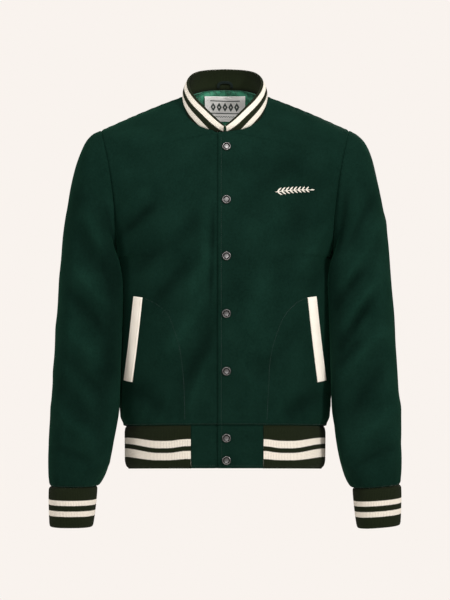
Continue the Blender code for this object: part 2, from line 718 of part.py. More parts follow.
def build_hem(collection, grids):
    """Rib band round the back from tab to tab, and the two wool tabs at the front."""
    line = hem_line(grids)
    drops, swells = HEM_BAND["drop"] + SEAM * (HEM_BAND["drop"] == 0.0), HEM_BAND["swell"]
    over = between(line, -LAP, TAB_END_LEFT)
    build_hem_tab("hem_tab_left", over, 0 * over[:, 0], drops, swells - LIFT, collection)
    edge = -LAP - 1.0
    under = between(line, -TAB_END_RIGHT, LAP, np.linspace(edge - LAP_BLEND, edge, 4))
    sink = LAP_STEP * smoothstep(edge - LAP_BLEND, edge, under[:, 0])
    build_hem_tab("hem_tab_right", under, sink, drops, swells - LIFT, collection)

    ends = between(line, -TAB_END_RIGHT - 4 * SEAM, TAB_END_LEFT + 4 * SEAM)[[0, -1]]
    beyond = (line[:, 1] > FRONT_Y) | (line[:, 0] > ends[1, 0] + 1.0) | (line[:, 0] < ends[0, 0] - 1.0)
    kept = np.concatenate([ends[1:], line[beyond], ends[:1]])
    spans = 4 * round(rib_count(line_length(kept)) / 2)
    fine = resample(kept, spans)
    outward = flat_outward(fine)
    rows = band_rows(fine, outward, drops, swells)
    outer = ribbed(rows, np.broadcast_to(outward, rows.shape))
    inner = band_rows(fine, outward, drops[[0, -1]], swells[[0, -1]] - RIB)[:, ::4]
    wall("hem_rib", outer, inner, "rib", collection)


def build_cuffs(collection):
    """Rib cuffs: rings below the sleeve's end, with ribs standing out from them."""
    thetas = ring_angles()
    for side, sign in SIDES.items():
        end = sleeve_surface(side)[0][-1]
        spans = 4 * round(rib_count(line_length(np.concatenate([end, end[:1]]))) / 2)
        rings = []
        for row, drop in enumerate(CUFF["drop"]):
            outer_x, inner_x = CUFF["outer_x"][row], CUFF["inner_x"][row]
            centre_x = (outer_x + inner_x) / 2
            x = centre_x + (outer_x - inner_x) / 2 * power(np.cos(np.radians(thetas)), RING_POWER)
            y = SLEEVE["centre_y"][-1] - CUFF["half_depth"][row] * power(np.sin(np.radians(thetas)), RING_POWER)
            z = 0 * x + SLEEVE["outer_z"][-1] - drop + cuff_shift(side, x)
            rings.append(resample(np.stack([x, y, z], axis=-1), spans, closed=True))
        rings[0][:, 2] -= SEAM
        grid = np.stack(rings)
        shade = unit(normals(grid, wrap=True) * (1.0, 1.0, 0.0))
        outer, inner = ribbed(grid, shade), (grid - RIB * shade)[[0, -1]][:, ::4]
        mirror = np.array([sign, 1.0, 1.0])
        wall("cuff_" + side, outer * mirror, inner * mirror, "rib", collection, wrap=True)


def collar_rows(angle_points):
    """Rows of the collar from the neckline to its top edge with a soft outward roll, and its normals."""
    base, top = neckline(angle_points), collar_top(angle_points)
    level = unit(neck_frame(angle_points)[0] * (1.0, 1.0, 0.35))
    rows = [base + (top - base) * share + swell * level for share, swell in zip(*COLLAR_ROLL.values())]
    return np.stack(rows), level


def build_collar(collection, grids):
    """Collar band from the centre front round the wearer's left, back and right to the front again."""
    front_edge = grids["front"][-FRONT_NECK_ROWS - 1:, 0].copy()
    front_edge[0] = neckline(np.array([180.0]))[0]
    back_edge = grids["back"][-BACK_NECK_ROWS - 1:, 0]
    left = np.concatenate([front_edge, back_edge[-2::-1]])
    angles_left = np.concatenate([
        np.linspace(180.0, 90.0, FRONT_NECK_ROWS + 1),
        np.linspace(90.0, 0.0, BACK_NECK_ROWS + 1)[1:],
    ])
    spans = 4 * round(rib_count(line_length(left)) / 2)
    along = np.concatenate([[0.0], np.cumsum(np.linalg.norm(np.diff(left, axis=0), axis=1))])
    angle = np.interp(np.linspace(0.0, along[-1], spans + 1), along, angles_left)
    rows, level = collar_rows(angle)
    normal, rise = neck_frame(angle)
    rows[0] = resample(left, spans) + COLLAR_SEAM * rise
    inner_base = rows[0] - RIB * normal
    inner_top = rows[-1] - COLLAR_EDGE * level
    gap = np.array([3 * SEAM, 0.0, 0.0])
    outer, inner = ribbed(rows, np.broadcast_to(level, rows.shape)), np.stack([inner_base, inner_top])
    outer[:, 0] += gap
    inner[:, 0] += gap
    inner = inner[:, ::4]
    outer = np.concatenate([outer, flip_x(outer)[:, -2::-1]], axis=1)
    inner = np.concatenate([inner, flip_x(inner)[:, -2::-1]], axis=1)
    wall("collar", outer, inner, "rib", collection)


def grid_point(grid, x, z):
    """Points of a half panel at positions seen from the front, read between its own points."""
    x, z = np.broadcast_arrays(np.asarray(x, dtype=float), np.asarray(z, dtype=float))
    found = np.empty(x.shape)
    for place in np.ndindex(x.shape):
        beside = abs(x[place])
        reached = grid[grid[:, 0, 0] <= beside + 1e-6]
        depths = [np.interp(beside, row[:, 0], row[:, 1]) for row in reached]
        heights = [np.interp(beside, row[:, 0], row[:, 2]) for row in reached]
        found[place] = np.interp(z[place], heights, depths)
    return np.stack([x, found, z], axis=-1)


def grid_normal(grid, x, z, towards):
    """Unit normal of a half panel there, on the side of the sign given along Y."""
    nudge = 4.0
    across = grid_point(grid, x + nudge, z) - grid_point(grid, x - nudge, z)
    up = grid_point(grid, x, z + nudge) - grid_point(grid, x, z - nudge)
    normal = unit(np.cross(across, up))
    return normal * np.sign(normal[..., 1:2]) * towards


def build_welts(collection, grids, shaded):
    """A leather welt on each front, over its slanted pocket mouth."""
    share = np.linspace(0.0, 1.0, 9)
    x, z = curve(WELT, "share", "x", share), curve(WELT, "share", "z", share)
    along = unit(np.stack([np.gradient(x), np.gradient(z)], axis=-1))
    width = np.linspace(-0.5, 0.5, 5) * WELT_WIDTH
    x = x[:, None] - width * along[:, None, 1]
    z = z[:, None] + width * along[:, None, 0]
    for side, sign in SIDES.items():
        surface = front_surface(side, grids, shaded)
        place = grid_point(surface[:, 1:], x, z)
        normal = grid_normal(surface[:, 1:], x, z, -1.0)
        mirror = np.array([sign, 1.0, 1.0])
        outer = (place + (WELT_LIFT + LEATHER) * normal) * mirror
        wall("pocket_welt_" + side, outer, (place + WELT_LIFT * normal) * mirror, "leather", collection)


def build_neck_lining(collection, grids, shaded):
    """Satin lining behind the neck, the part that shows through the collar."""
    grid, normal = grids["back"], shaded["back"]
    depth = WOOL + LIFT
    outer = grid - depth * normal
    inner = grid - (depth + LINING) * normal
    trim_panel(outer, inner, grid, BACK_NECK_ROWS, False)
    kept = (slice(LINING_BOTTOM_ROW, None), slice(0, LINING_COLUMNS))
    open_rows = len(grid[kept]) - BACK_NECK_ROWS - 1
    add_mirror(wall("back_neck_lining", outer[kept], inner[kept], "satin", collection, open_rows=open_rows))


def build_label(collection, grids):
    """Blank woven label on the lining below the collar."""
    x, z = np.meshgrid(np.linspace(-1.0, 1.0, 7) * LABEL_HALF_WIDTH, np.linspace(*LABEL_HEIGHTS, 5))
    place = grid_point(grids["back"], x, z)
    normal = grid_normal(grids["back"], x, z, -1.0)
    depth = WOOL + LIFT + LINING + 3 * LIFT
    wall(
        "neck_label",
        place + (depth + LABEL_THICK) * normal,
        place + depth * normal,
        "woven_label",
        collection,
    )


def build_hanger_loop(collection):
    """Hanger loop: a flat tape bent into an arch, standing against the inside of the collar."""
    width, thick = LOOP_TAPE
    turn = np.linspace(0.0, math.pi, 17)
    straight = LOOP_HEIGHT * 0.35
    x = -LOOP_HALF_WIDTH * power(np.cos(turn), LOOP_POWER)
    z = LOOP_FOOT + straight + (LOOP_HEIGHT - straight) * power(np.sin(turn), LOOP_POWER)
    z[[0, -1]] = LOOP_FOOT
    path = np.stack([x, z], axis=-1)
    tangent = unit(np.gradient(path, axis=0))
    outward = np.stack([-tangent[:, 1], tangent[:, 0]], axis=-1) * width / 2

    def placed(flat, forward):
        lean = LOOP_Y - LOOP_LEAN * (flat[:, 1] - LOOP_FOOT) - LOOP_BOW * (flat[:, 0] / LOOP_HALF_WIDTH) ** 2
        return np.stack([flat[:, 0], lean - forward, flat[:, 1]], axis=-1)

    outer = np.stack([placed(path + outward, thick), placed(path - outward, thick)])
    inner = np.stack([placed(path + outward, 0.0), placed(path - outward, 0.0)])
    wall("hanger_loop", outer, inner, "tape", collection)


def snap_place(height, grids):
    """Depth and tilt of the cloth at a height beside the centre front, on the front or on the hem tab."""
    centre = grids["front"][:-FRONT_NECK_ROWS - 1, 1]
    if height > centre[0, 2]:
        reach = SNAP_PROFILE["radius"].max()
        below, y, above = np.interp([height - reach, height, height + reach], centre[:, 2], centre[:, 1])
        return y, math.atan((above - below) / (2 * reach))
    swell = np.interp(centre[0, 2] - height, HEM_BAND["drop"], HEM_BAND["swell"] - LIFT)
    return hem_line(grids)[0, 1] - swell, 0.0


def build_snaps(collection, grids):
    """Turned snap caps down the centre front and on the upper hem tab."""
    profile = np.stack([SNAP_PROFILE["radius"], 0 * SNAP_PROFILE["radius"], SNAP_PROFILE["height"]], axis=-1)
    edges = [(i, i + 1) for i in range(len(profile) - 1)]
    for number, height in enumerate(SNAP_HEIGHTS + TAB_SNAP_HEIGHTS, start=1):
        name = f"snap_{number}"
        mesh = bpy.data.meshes.new(name)
        mesh.from_pydata((profile * MM).tolist(), edges, [])
        own = material("pewter").copy()
        own.name = name + "_pewter"
        mesh.materials.append(own)
        cap = bpy.data.objects.new(name, mesh)
        turned = cap.modifiers.new("Screw", "SCREW")
        turned.steps = turned.render_steps = SNAP_STEPS
        turned.use_merge_vertices = True
        turned.merge_threshold = 0.00001
        y, tilt = snap_place(height, grids)
        cap.location = np.array([SNAP_X, y - 1.3 * LIFT / math.cos(tilt), height]) * MM
        cap.rotation_euler = (math.pi / 2 - tilt, 0.0, 0.0)
        collection.objects.link(cap)


def main():
    for existing in list(bpy.data.objects):
        bpy.data.objects.remove(existing, do_unlink=True)
    jacket = bpy.data.collections.new("bomber_jacket")
    bpy.context.scene.collection.children.link(jacket)
    grids, shaded = dress_panels()
    build_fronts(jacket, grids, shaded)
    build_back(jacket, grids, shaded)
    build_sleeves(jacket)
    build_hem(jacket, grids)
    build_cuffs(jacket)
    build_collar(jacket, grids)
    build_neck_lining(jacket, grids, shaded)
    build_label(jacket, grids)
    build_hanger_loop(jacket)
    build_welts(jacket, grids, shaded)
    build_snaps(jacket, grids)


main()
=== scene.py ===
"""Dressed model of the wool bomber jacket: nap, seams, stitching, knit ribs with stripes, satin and snaps.

Lengths are in millimetres until a mesh is made.  +Z is up, +X the wearer's left, the front faces -Y.
"""

import math

import bpy
import numpy as np
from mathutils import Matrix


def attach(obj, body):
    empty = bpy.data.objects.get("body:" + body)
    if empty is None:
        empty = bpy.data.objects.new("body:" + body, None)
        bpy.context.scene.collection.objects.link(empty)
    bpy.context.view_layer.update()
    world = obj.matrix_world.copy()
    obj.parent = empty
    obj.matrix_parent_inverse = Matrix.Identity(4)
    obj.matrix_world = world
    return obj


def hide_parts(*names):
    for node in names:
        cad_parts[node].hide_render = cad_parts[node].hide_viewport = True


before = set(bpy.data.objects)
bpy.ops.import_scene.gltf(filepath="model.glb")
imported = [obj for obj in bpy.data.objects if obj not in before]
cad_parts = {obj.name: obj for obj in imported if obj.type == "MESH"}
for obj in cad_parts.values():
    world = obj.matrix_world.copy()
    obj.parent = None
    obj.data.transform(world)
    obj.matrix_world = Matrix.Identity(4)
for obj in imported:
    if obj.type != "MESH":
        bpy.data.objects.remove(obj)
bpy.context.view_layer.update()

MM = 0.001

# ---------------------------------------------------------------- sizes of the jacket

WOOL = 2.0              # thickness of the wool wall
RIB = 2.8               # and of the folded knit
SATIN_DEPTH = 2.35      # the neck lining lies this far under the back's outer face
LABEL_DEPTH = 4.6       # and the label this far, to its own back
HEM_SEAM = -561.0
HEM_RISE = 11.0         # the hem seam hangs this much higher at the centre front
ARMPIT = -275.0
NECK_PIT = -62.0        # lowest point of the neckline, at the centre front
NECK_BACK = 17.0        # its highest, at the centre back
SIDE_SEAM_Y = 12.0
FRONT_Y = -60.0         # the hem before this depth is its front
SECTION_POWER = 2.55    # the torso's section is a superellipse of this power
RING_POWER = 0.88       # the sleeve's rings are ellipses with cosine and sine raised to this
SHOULDER_TURN = 62.0    # how far the rows of a panel turn on their way to the shoulder tip, in degrees
SHOULDER_CROWN = 2.0
COLLAR_LEAN = 0.75      # rise of the collar's normal for one step outward
LAP = 12.0              # the fronts lap this far past the centre
LAP_DROP = 0.8          # the lap's upper edge lies this far under the neckline
LAP_STEP = 2.6          # the under front lies this much deeper
LAP_BLEND = 10.0
LOWER_HEIGHTS = (HEM_SEAM, -553.0, -545.0, -510.0, -465.0, -420.0, -370.0, -320.0)
CENTRE_ROWS = 7         # rows of a front between the armpit and the pit of the neck
FRONT_NECK_ROWS = 6
BACK_NECK_ROWS = 4
HALF_COLUMNS = 12
LAP_COLUMNS = (0.0, 13.0, 23.0)
THETA_AT_PIT = 62.0     # angle round the armhole that the pit of the neck is level with
LINING_ROWS = 10
LINING_COLUMNS = 8
TAB_END_LEFT = 64.0
TAB_END_RIGHT = 57.0
BAND_HEIGHT = 71.5
SIDES = {"left": 1.0, "right": -1.0}
LEVEL = np.array([1.0, 1.0, 0.0])
DOWN = np.array([0.0, 0.0, -1.0])

# ---------------------------------------------------------------- finer sizes

CLOTH_STEP = 3.6        # spacing of the points of a wool panel
SLEEVE_STEP = 4.2
EDGE_LINES = (0.45, 0.9, 1.5, 2.2, 3.0, 4.0, 5.0, 5.8, 6.6, 7.4, 8.4)   # extra lines beside a seam
SEAM_TUCK = 1.25        # how deep a seam lies
SEAM_SWELL = 0.45       # and how far the cloth beside it stands up
RIM_UV = 2.0            # a wall's rims take this much of the texture's width
EDGE_CALM = 14.0        # the folds of a panel die away this near its edges
HEM_STITCH = 5.0        # rows of stitching: distance from the hem seam
CUFF_STITCH = 4.0       # from the cuff seam
PLACKET_STITCH = 6.6    # from the front edge
WELT_STITCH = 2.4       # and from a welt's edge
RIB_PITCH = 2.75        # one rib of the knit and its groove
RIB_RISE = 0.72
POINTS_PER_RIB = 5
RIB_END = 0.4           # the hem's knit reaches this far under the tabs
STITCH_PITCH = 3.1
STITCH_LENGTH = 2.2
STITCH_RADIUS = 0.28
STITCH_SIDES = 6
SNAP_X = 2.5
SNAP_HEIGHTS = (-88.0, -176.5, -269.5, -364.5, -460.0)
TAB_SNAP_HEIGHTS = (-571.0, -608.0)
SNAP_LIFT = 0.35        # a cap's foot stands this far off the cloth
HEM_ROUND = 7.5         # radius of the hem's lower edge
EDGE_ROUND = 1.6        # radius of the small rounded edges of welts and collar ends

LABEL_HALF_WIDTH = 35.6
LABEL_HEIGHTS = (-35.0, 7.0)
LABEL_THICKNESS = 1.0
MOTIF_HALF_WIDTH = 26.2                       # the label's motif, from its lower left corner
LOZENGE_ROW = 24.5
LOZENGE_PITCH = 10.5
LOZENGE_HEIGHT = 7.6
BAR_OFFSET, BAR_HALF = 10.4, 0.8
ZIGZAG_ROW, ZIGZAG_PITCH, ZIGZAG_RISE, ZIGZAG_HALF = 7.5, 4.2, 3.6, 0.6

SPRIG_FOOT = (84.0, -164.0)                   # the twig on the chest, as x and z
SPRIG_LENGTH = 58.0
LEAF_PAIRS = 8
LEAF_LENGTH = 9.2
LEAF_LEANS = (48.0, -44.0)
LEAF_POINTS = 26

LOOP_HALF_WIDTH = 11.5
LOOP_FOOT = 17.6
LOOP_HEIGHT = 10.5
LOOP_TAPE = (4.6, 1.2)
LOOP_POWER = 0.8
LOOP_Y = 60.3
LOOP_BOW = 1.1
LOOP_LEAN = 0.21
LOOP_SIDES = 20         # points round the tape

HEM_STRIPES = (26.0, 38.0, 46.0, 58.0)        # edges of the pale stripes, down from the seam
CUFF_STRIPES = (22.0, 30.5, 40.0, 49.0)
COLLAR_STRIPES = (2.8, 11.6, 19.8, 28.8)      # from the top edge down
COLLAR_END_SHADE = 15.5                             # its ends read the dark between the stripes: painted shade where the two ends meet
INSIDE_READS = 300.0                          # the inside of a band reads its colour far past the stripes

# Flat cuts of what shows: width, height and, where the cut isn't a rectangle, its area, in metres.
CUTS = {
    "front": (0.262, 0.566, 0.137),
    "back": (0.510, 0.640, 0.275),
    "sleeve": (0.520, 0.640, 0.210),
    "cuff": (0.235, 0.068),
    "hem_rib": (0.770, 0.072),
    "tab_left": (0.076, 0.072),
    "tab_right": (0.069, 0.072),
    "collar": (0.420, 0.036),
    "lining": (0.330, 0.180, 0.052),
    "label": (0.071, 0.042),
    "welt": (0.152, 0.024),
}


def table(columns, *rows):
    """A table of numbers as a dictionary from column name to array."""
    return dict(zip(columns.split(), np.array(rows, dtype=float).T))


# Half the width and the two depths of the torso's section at each height.
TORSO = table(
    "z half_width front back",
    (-561, 169, 117, 112),
    (-553, 174.5, 122, 117),
    (-540, 179, 125, 119),
    (-500, 181, 127, 118),
    (-420, 182.5, 129, 116),
    (-340, 184, 132, 120),
    (-275, 183, 133, 126),
    (-200, 183, 128, 129),
    (-130, 183, 112, 124),
    (-62, 183, 83, 110),
    (-20, 183, 70, 91),
    (17, 183, 60, 64),
)

# Neckline and top edge of the collar by the angle round the neck, from the centre back to the centre front.
COLLAR = table(
    "angle base_x base_y base_z top_x top_y top_z",
    (0, 0, 64, 17, 0, 58, 50),
    (22.5, 31, 60, 15.5, 28.5, 55, 48.5),
    (45, 55, 47, 9.5, 48.5, 43.5, 44.5),
    (67.5, 68.5, 27, 2.5, 59.5, 26, 37.5),
    (90, 72, 4, 0, 63.5, 6, 28),
    (105, 71, -14, -9.5, 63, -11, 18.5),
    (120, 67.3, -31, -23.5, 58.5, -30, 7),
    (135, 59.5, -48, -39.5, 47.5, -48, -8),
    (150, 44.5, -64, -51, 32.5, -66, -23.5),
    (165, 25, -76, -58.5, 16.5, -79.5, -39.5),
    (180, 0, -83, -62, 0, -89, -54),
)

# Rings of a sleeve from the shoulder to the cuff: outer and inner ends, middle and depth.
SLEEVE = table(
    "outer_x outer_z inner_x inner_z centre_y half_depth scoop clear",
    (210, -57, 183, -275, 10, 80, 9, 0),
    (224, -64, 186.5, -281, 7, 82, 5, 2.4),
    (237, -78, 186, -288, 4, 83.5, 2, 2.2),
    (249, -105, 184, -298, 1, 84, 0, 2),
    (259, -143, 182, -312, -2, 83.5, 0, 2),
    (267.5, -188, 180, -332, -6, 82, 0, 2),
    (274.5, -238, 179, -358, -10, 80, 0, 2),
    (279.5, -296, 179, -390, -15, 77.5, 0, 2),
    (283.7, -358, 180, -427, -20, 74, 0, 2),
    (287.7, -424, 181, -470, -25, 70, 0, 2),
    (292.3, -492, 182, -517, -30, 65, 0, 2),
    (296.3, -556, 185.5, -566, -34, 60, 0, 2),
    (298, -607, 192.5, -609, -37, 55, 0, 2),
    (297.5, -637.5, 201.5, -637.5, -39, 50, 0, 2),
    (296, -651, 209, -651, -40, 46.5, 0, 2),
    (294, -657.5, 216.5, -657.5, -40.5, 42, 0, 2),
)

# How near the middle the front of a sleeve hangs, seen from the front: it covers the torso's side.
REACH = table(
    "z left right",
    (-262, 184.5, 184),
    (-285, 178.5, 178),
    (-311, 174.7, 174),
    (-345, 176, 173),
    (-390, 177.5, 174.5),
    (-442, 179, 176.5),
    (-500, 180.5, 178.5),
    (-530, 182, 180),
    (-560, 187, 185),
    (-590, 193, 191),
    (-634, 200, 199),
)
REACH_Y = -68.0             # depth where it reaches in most
REACH_BREADTH = 24.0        # and how broadly
REACH_TOP = (-212.0, -278.0)    # it sets in between these heights
SLEEVE_CLEAR = 1.9          # it stays this far from the torso
CAMERA_DISTANCE = 4400.0

CUFF = table(
    "drop outer_x inner_x half_depth",
    (0, 294, 216.5, 42),
    (6, 296.5, 216, 43.5),
    (38, 296.5, 219, 42),
    (63, 295.5, 222.5, 39),
    (67.5, 294.5, 224, 38),
)
CUFF_TILT = {"left": 3.0, "right": 0.0}
CUFF_TILT_HEIGHTS = (-600.0, -655.0)

COLLAR_ROLL = table("share swell", (0.0, 0.0), (0.45, 2.2), (0.93, 0.4), (1.0, -0.9))
HEM_BAND = table("drop swell", (0.0, 0.0), (10.0, 1.6), (58.0, 1.2), (71.5, -1.6))

WELT = table("share x z", (0.0, 144.5, -338.0), (0.5, 152.5, -408.0), (1.0, 162.0, -480.0))
WELT_WIDTH = 15.0
WELT_LENGTH = 143.0

# Half section of a snap cap, from the middle of its face round to the middle of its foot.
SNAP_CAP = table(
    "radius height",
    (0, 1.15),
    (2.2, 1.2),
    (3.9, 1.3),
    (4.7, 1.55),
    (5.1, 2.1),
    (5.5, 2.5),
    (6.1, 2.6),
    (6.7, 2.4),
    (7.2, 1.7),
    (7.5, 0.9),
    (7.45, 0.2),
    (7, -0.3),
    (0, -0.3),
)

# Folds: a ridge, or a trough where the height is negative, between two points seen from the front.
FOLDS = {
    "front_left": table(
        "x0 z0 x1 z1 width height",
        (165, -500, 95, -535, 17, -4.5),
        (70, -300, 25, -400, 20, 3.5),
        (150, -150, 110, -235, 20, -3.5),
        (176, -215, 118, -300, 10, 2.6),
        (178, -262, 140, -330, 9, -2.6),
        (120, -110, 50, -170, 15, -2.2),
        (58, -515, 26, -430, 9, 2.2),
        (100, -549, 84, -500, 6, 1.8),
        (130, -549, 122, -505, 6, -1.8),
        (40, -549, 46, -505, 6, 1.6),
        (24, -549, 20, -495, 4, -1.8),
        (110, -400, 55, -475, 12, -2.4),
        (90, -200, 30, -250, 14, 1.8),
        (145, -75, 60, -150, 38, -2.4),
        (198, -180, 186, -262, 3, -5),
        (60, -330, 50, -440, 30, 1.6),
    ),
    "front_right": table(
        "x0 z0 x1 z1 width height",
        (-166, -236, -120, -188, 9, -5.5),
        (-176, -208, -128, -160, 12, 3),
        (-118, -346, -66, -284, 11, -5),
        (-62, -340, -20, -266, 12, 6.5),
        (-74, -498, -14, -388, 13, -5.5),
        (-104, -436, -34, -338, 14, 5.5),
        (-165, -490, -90, -535, 18, -4),
        (-92, -250, -40, -205, 12, -2.6),
        (-150, -300, -100, -250, 9, -2.8),
        (-22, -195, -21, -335, 4, -6.5),
        (-40, -190, -36, -300, 9, 3),
        (-60, -520, -26, -440, 8, 2.4),
        (-112, -549, -96, -500, 6, 2),
        (-76, -549, -70, -508, 6, -1.8),
        (-140, -549, -134, -512, 6, 1.8),
    ),
    "back": table(
        "x0 z0 x1 z1 width height",
        (-150, -215, -60, -300, 20, -6),
        (150, -215, 60, -300, 20, -6),
        (-120, -520, 20, -490, 17, 5),
        (130, -470, 40, -520, 19, 5),
        (-172, -170, -110, -235, 9, 3.2),
        (172, -175, 112, -240, 9, 3),
        (-168, -260, -105, -330, 10, 3),
        (166, -250, 110, -325, 10, 2.8),
        (-110, -360, -30, -425, 13, -3),
        (100, -350, 20, -400, 14, -2.6),
        (-30, -110, 70, -150, 15, 1.8),
        (-60, -549, -52, -495, 7, 2.2),
        (12, -549, 16, -500, 7, -2),
        (74, -549, 66, -495, 7, 2.2),
        (-128, -549, -118, -500, 7, -2),
        (124, -549, 116, -500, 7, 2),
    ),
    "sleeve_left": table(
        "x0 z0 x1 z1 width height",
        (183, -356, 232, -298, 7.5, -5.5),
        (187, -325, 240, -262, 9, 4),
        (196, -421, 243, -350, 7.5, -7),
        (196, -388, 250, -318, 7.5, 5.5),
        (192, -452, 224, -416, 8, -4.5),
        (200, -470, 262, -398, 12, 5),
        (209, -256, 247, -176, 8, -4.5),
        (236, -262, 262, -206, 11, 3),
        (214, -540, 262, -455, 15, -5),
        (220, -585, 288, -520, 13, 4),
        (222, -622, 286, -585, 9, -3.5),
        (226, -140, 262, -200, 14, -2),
        (184, -300, 190, -440, 9, -3.5),
        (264, -240, 284, -560, 15, 2.6),
        (202, -165, 188, -262, 5, -5),
    ),
    "sleeve_right": table(
        "x0 z0 x1 z1 width height",
        (-205, -300, -245, -225, 14, -4.5),
        (-196, -262, -236, -190, 11, 2.6),
        (-200, -400, -262, -325, 12, -5),
        (-196, -356, -250, -286, 11, 3.6),
        (-205, -450, -268, -385, 15, 5),
        (-212, -500, -262, -440, 11, -4),
        (-230, -550, -280, -480, 15, -4),
        (-216, -588, -284, -525, 11, 3.6),
        (-224, -620, -284, -590, 9, -3.4),
        (-224, -140, -258, -195, 14, -2),
        (-204, -190, -188, -320, 12, -5),
        (-198, -185, -187, -262, 4, -3.5),
        (-184, -290, -196, -480, 17, -6),
        (-200, -440, -214, -600, 14, -3),
    ),
}

# Pocket bag stitched through each front: its line from the welt's top to the hem.
POCKET_LINES = {
    "right": table(
        "share x z",
        (0, -136, -339),
        (0.12, -112, -351),
        (0.25, -95, -366),
        (0.4, -84, -392),
        (0.55, -74.5, -425),
        (0.75, -68.5, -478),
        (1, -66.5, -541),
    ),
    "left": table(
        "share x z",
        (0, 137, -339),
        (0.12, 117, -349),
        (0.25, 97, -372),
        (0.4, 82, -410),
        (0.55, 75, -441),
        (0.75, 72.5, -480),
        (1, 69.5, -541),
    ),
}


# ---------------------------------------------------------------- shape of the jacket
# A panel is a grid of arcs between its centre and its side, a sleeve a row of rings, both made coarse from
# the tables and then refined by cubics, with normals that agree along the seams they share.


def hermite(before, slope_before, after, slope_after, u):
    """Cubic between two values with the given slopes, both per whole stretch; u runs from 0 to 1."""
    return (
        (2 * u**3 - 3 * u**2 + 1) * before
        + (u**3 - 2 * u**2 + u) * slope_before
        + (3 * u**2 - 2 * u**3) * after
        + (u**3 - u**2) * slope_after
    )


def spline(keys, values, at, corners=()):
    """Smooth cubic along the first axis, sloped at each key like its neighbours.

    corners holds (row, weight per column): there the line may turn sharply, as far as the weight says.
    """
    width = (-1,) + (1,) * (values.ndim - 1)
    slopes = np.empty_like(values)
    slopes[1:-1] = (values[2:] - values[:-2]) / (keys[2:] - keys[:-2]).reshape(width)
    steps = (values[1:] - values[:-1]) / (keys[1:] - keys[:-1]).reshape(width)
    slopes[0], slopes[-1] = steps[0], steps[-1]
    arriving, leaving = slopes.copy(), slopes.copy()
    for row, weight in corners:
        arriving[row] += weight[:, None] * (steps[row - 1] - slopes[row])
        leaving[row] += weight[:, None] * (steps[row] - slopes[row])
    i = np.clip(np.searchsorted(keys, at, side="right") - 1, 0, len(keys) - 2)
    step = (keys[i + 1] - keys[i]).reshape(width)
    u = np.clip((at - keys[i]).reshape(width) / step, 0.0, 1.0)
    return hermite(values[i], leaving[i] * step, values[i + 1], arriving[i + 1] * step, u)


def curve(rows, key, column, at):
    """A table's column as a smooth cubic through its rows."""
    order = np.argsort(rows[key])
    at = np.asarray(at, dtype=float)
    return spline(rows[key][order], rows[column][order], at.ravel()).reshape(at.shape)


def unit(vectors):
    """Vectors divided by their lengths."""
    return vectors / np.maximum(np.linalg.norm(vectors, axis=-1, keepdims=True), 1e-9)


def smoothstep(low, high, x):
    """Cubic 3u^2 - 2u^3 that climbs from 0 at low to 1 at high, and is level past them."""
    u = np.clip((x - low) / (high - low), 0.0, 1.0)
    return u * u * (3 - 2 * u)


def bump(x, width):
    """Bell of height one, exp(-(x / width)^2): a width away about a third of it is left."""
    return np.exp(-((x / width) ** 2))


def quarter_round(distance, radius=EDGE_ROUND):
    """Height of a quarter circle at a distance in from its edge: the square root of 1 - (1 - d/r)^2."""
    return np.sqrt(np.clip(1 - (1 - np.clip(distance / radius, 0.0, 1.0)) ** 2, 0.0, 1.0))


def flip_x(points):
    """Points mirrored across the middle of the body."""
    return points * np.array([-1.0, 1.0, 1.0])


def power(x, exponent):
    """Power of a number's size, with its sign kept."""
    return np.sign(x) * np.abs(x) ** exponent


def torso_x(y, z):
    """Half width of the torso below the armpits: w (1 - |d|^p)^(1/p), where d is the share of the depth."""
    width = curve(TORSO, "z", "half_width", z)
    front = curve(TORSO, "z", "front", z) + SIDE_SEAM_Y
    back = curve(TORSO, "z", "back", z) - SIDE_SEAM_Y
    ratio = np.clip(np.abs(y - SIDE_SEAM_Y) / np.where(y < SIDE_SEAM_Y, front, back), 0.0, 1.0)
    return width * (1 - ratio**SECTION_POWER) ** (1 / SECTION_POWER)


def neckline(angle, edge="base"):
    """Points round the neck by angle, 0 at the back and 180 in front: cubics through the collar's table."""
    return np.stack([curve(COLLAR, "angle", f"{edge}_{axis}", angle) for axis in "xyz"], axis=-1)


def sleeve_ring(row, theta):
    """Ring of the sleeve: theta is 0 at the outer end, 90 at the front, 180 at the inner end.

    Width and height run with cos^p between the two ends of the row, depth with sin^p; below the armpit
    the ring is kept clear of the torso.
    """
    at = {column: float(SLEEVE[column][row]) for column in SLEEVE}
    cosine, sine = np.cos(np.radians(theta)), np.sin(np.radians(theta))
    x = (at["outer_x"] + at["inner_x"]) / 2 + (at["outer_x"] - at["inner_x"]) / 2 * power(cosine, RING_POWER)
    z = (at["outer_z"] + at["inner_z"]) / 2 + (at["outer_z"] - at["inner_z"]) / 2 * power(cosine, RING_POWER)
    x = x - at["scoop"] * sine**2
    y = at["centre_y"] - at["half_depth"] * power(sine, RING_POWER)
    if row:
        x = np.where(z < ARMPIT, np.maximum(x, torso_x(y, z) + at["clear"]), x)
    return np.stack([x, y, z], axis=-1)


def armhole_angles():
    """Angles of the armhole points, from the underarm up to the shoulder tip."""
    below = np.linspace(180.0, THETA_AT_PIT, CENTRE_ROWS + 1)
    return np.concatenate([below, np.linspace(THETA_AT_PIT, 0.0, FRONT_NECK_ROWS + 2)[1:]])


def armhole_radial(points):
    """Unit vectors out of the armhole's middle, level with its plane."""
    middle = (SLEEVE["outer_z"][0] + SLEEVE["inner_z"][0]) / 2
    return unit((points - np.array([0.0, SLEEVE["centre_y"][0], middle])) * (0.0, 1.0, 1.0))


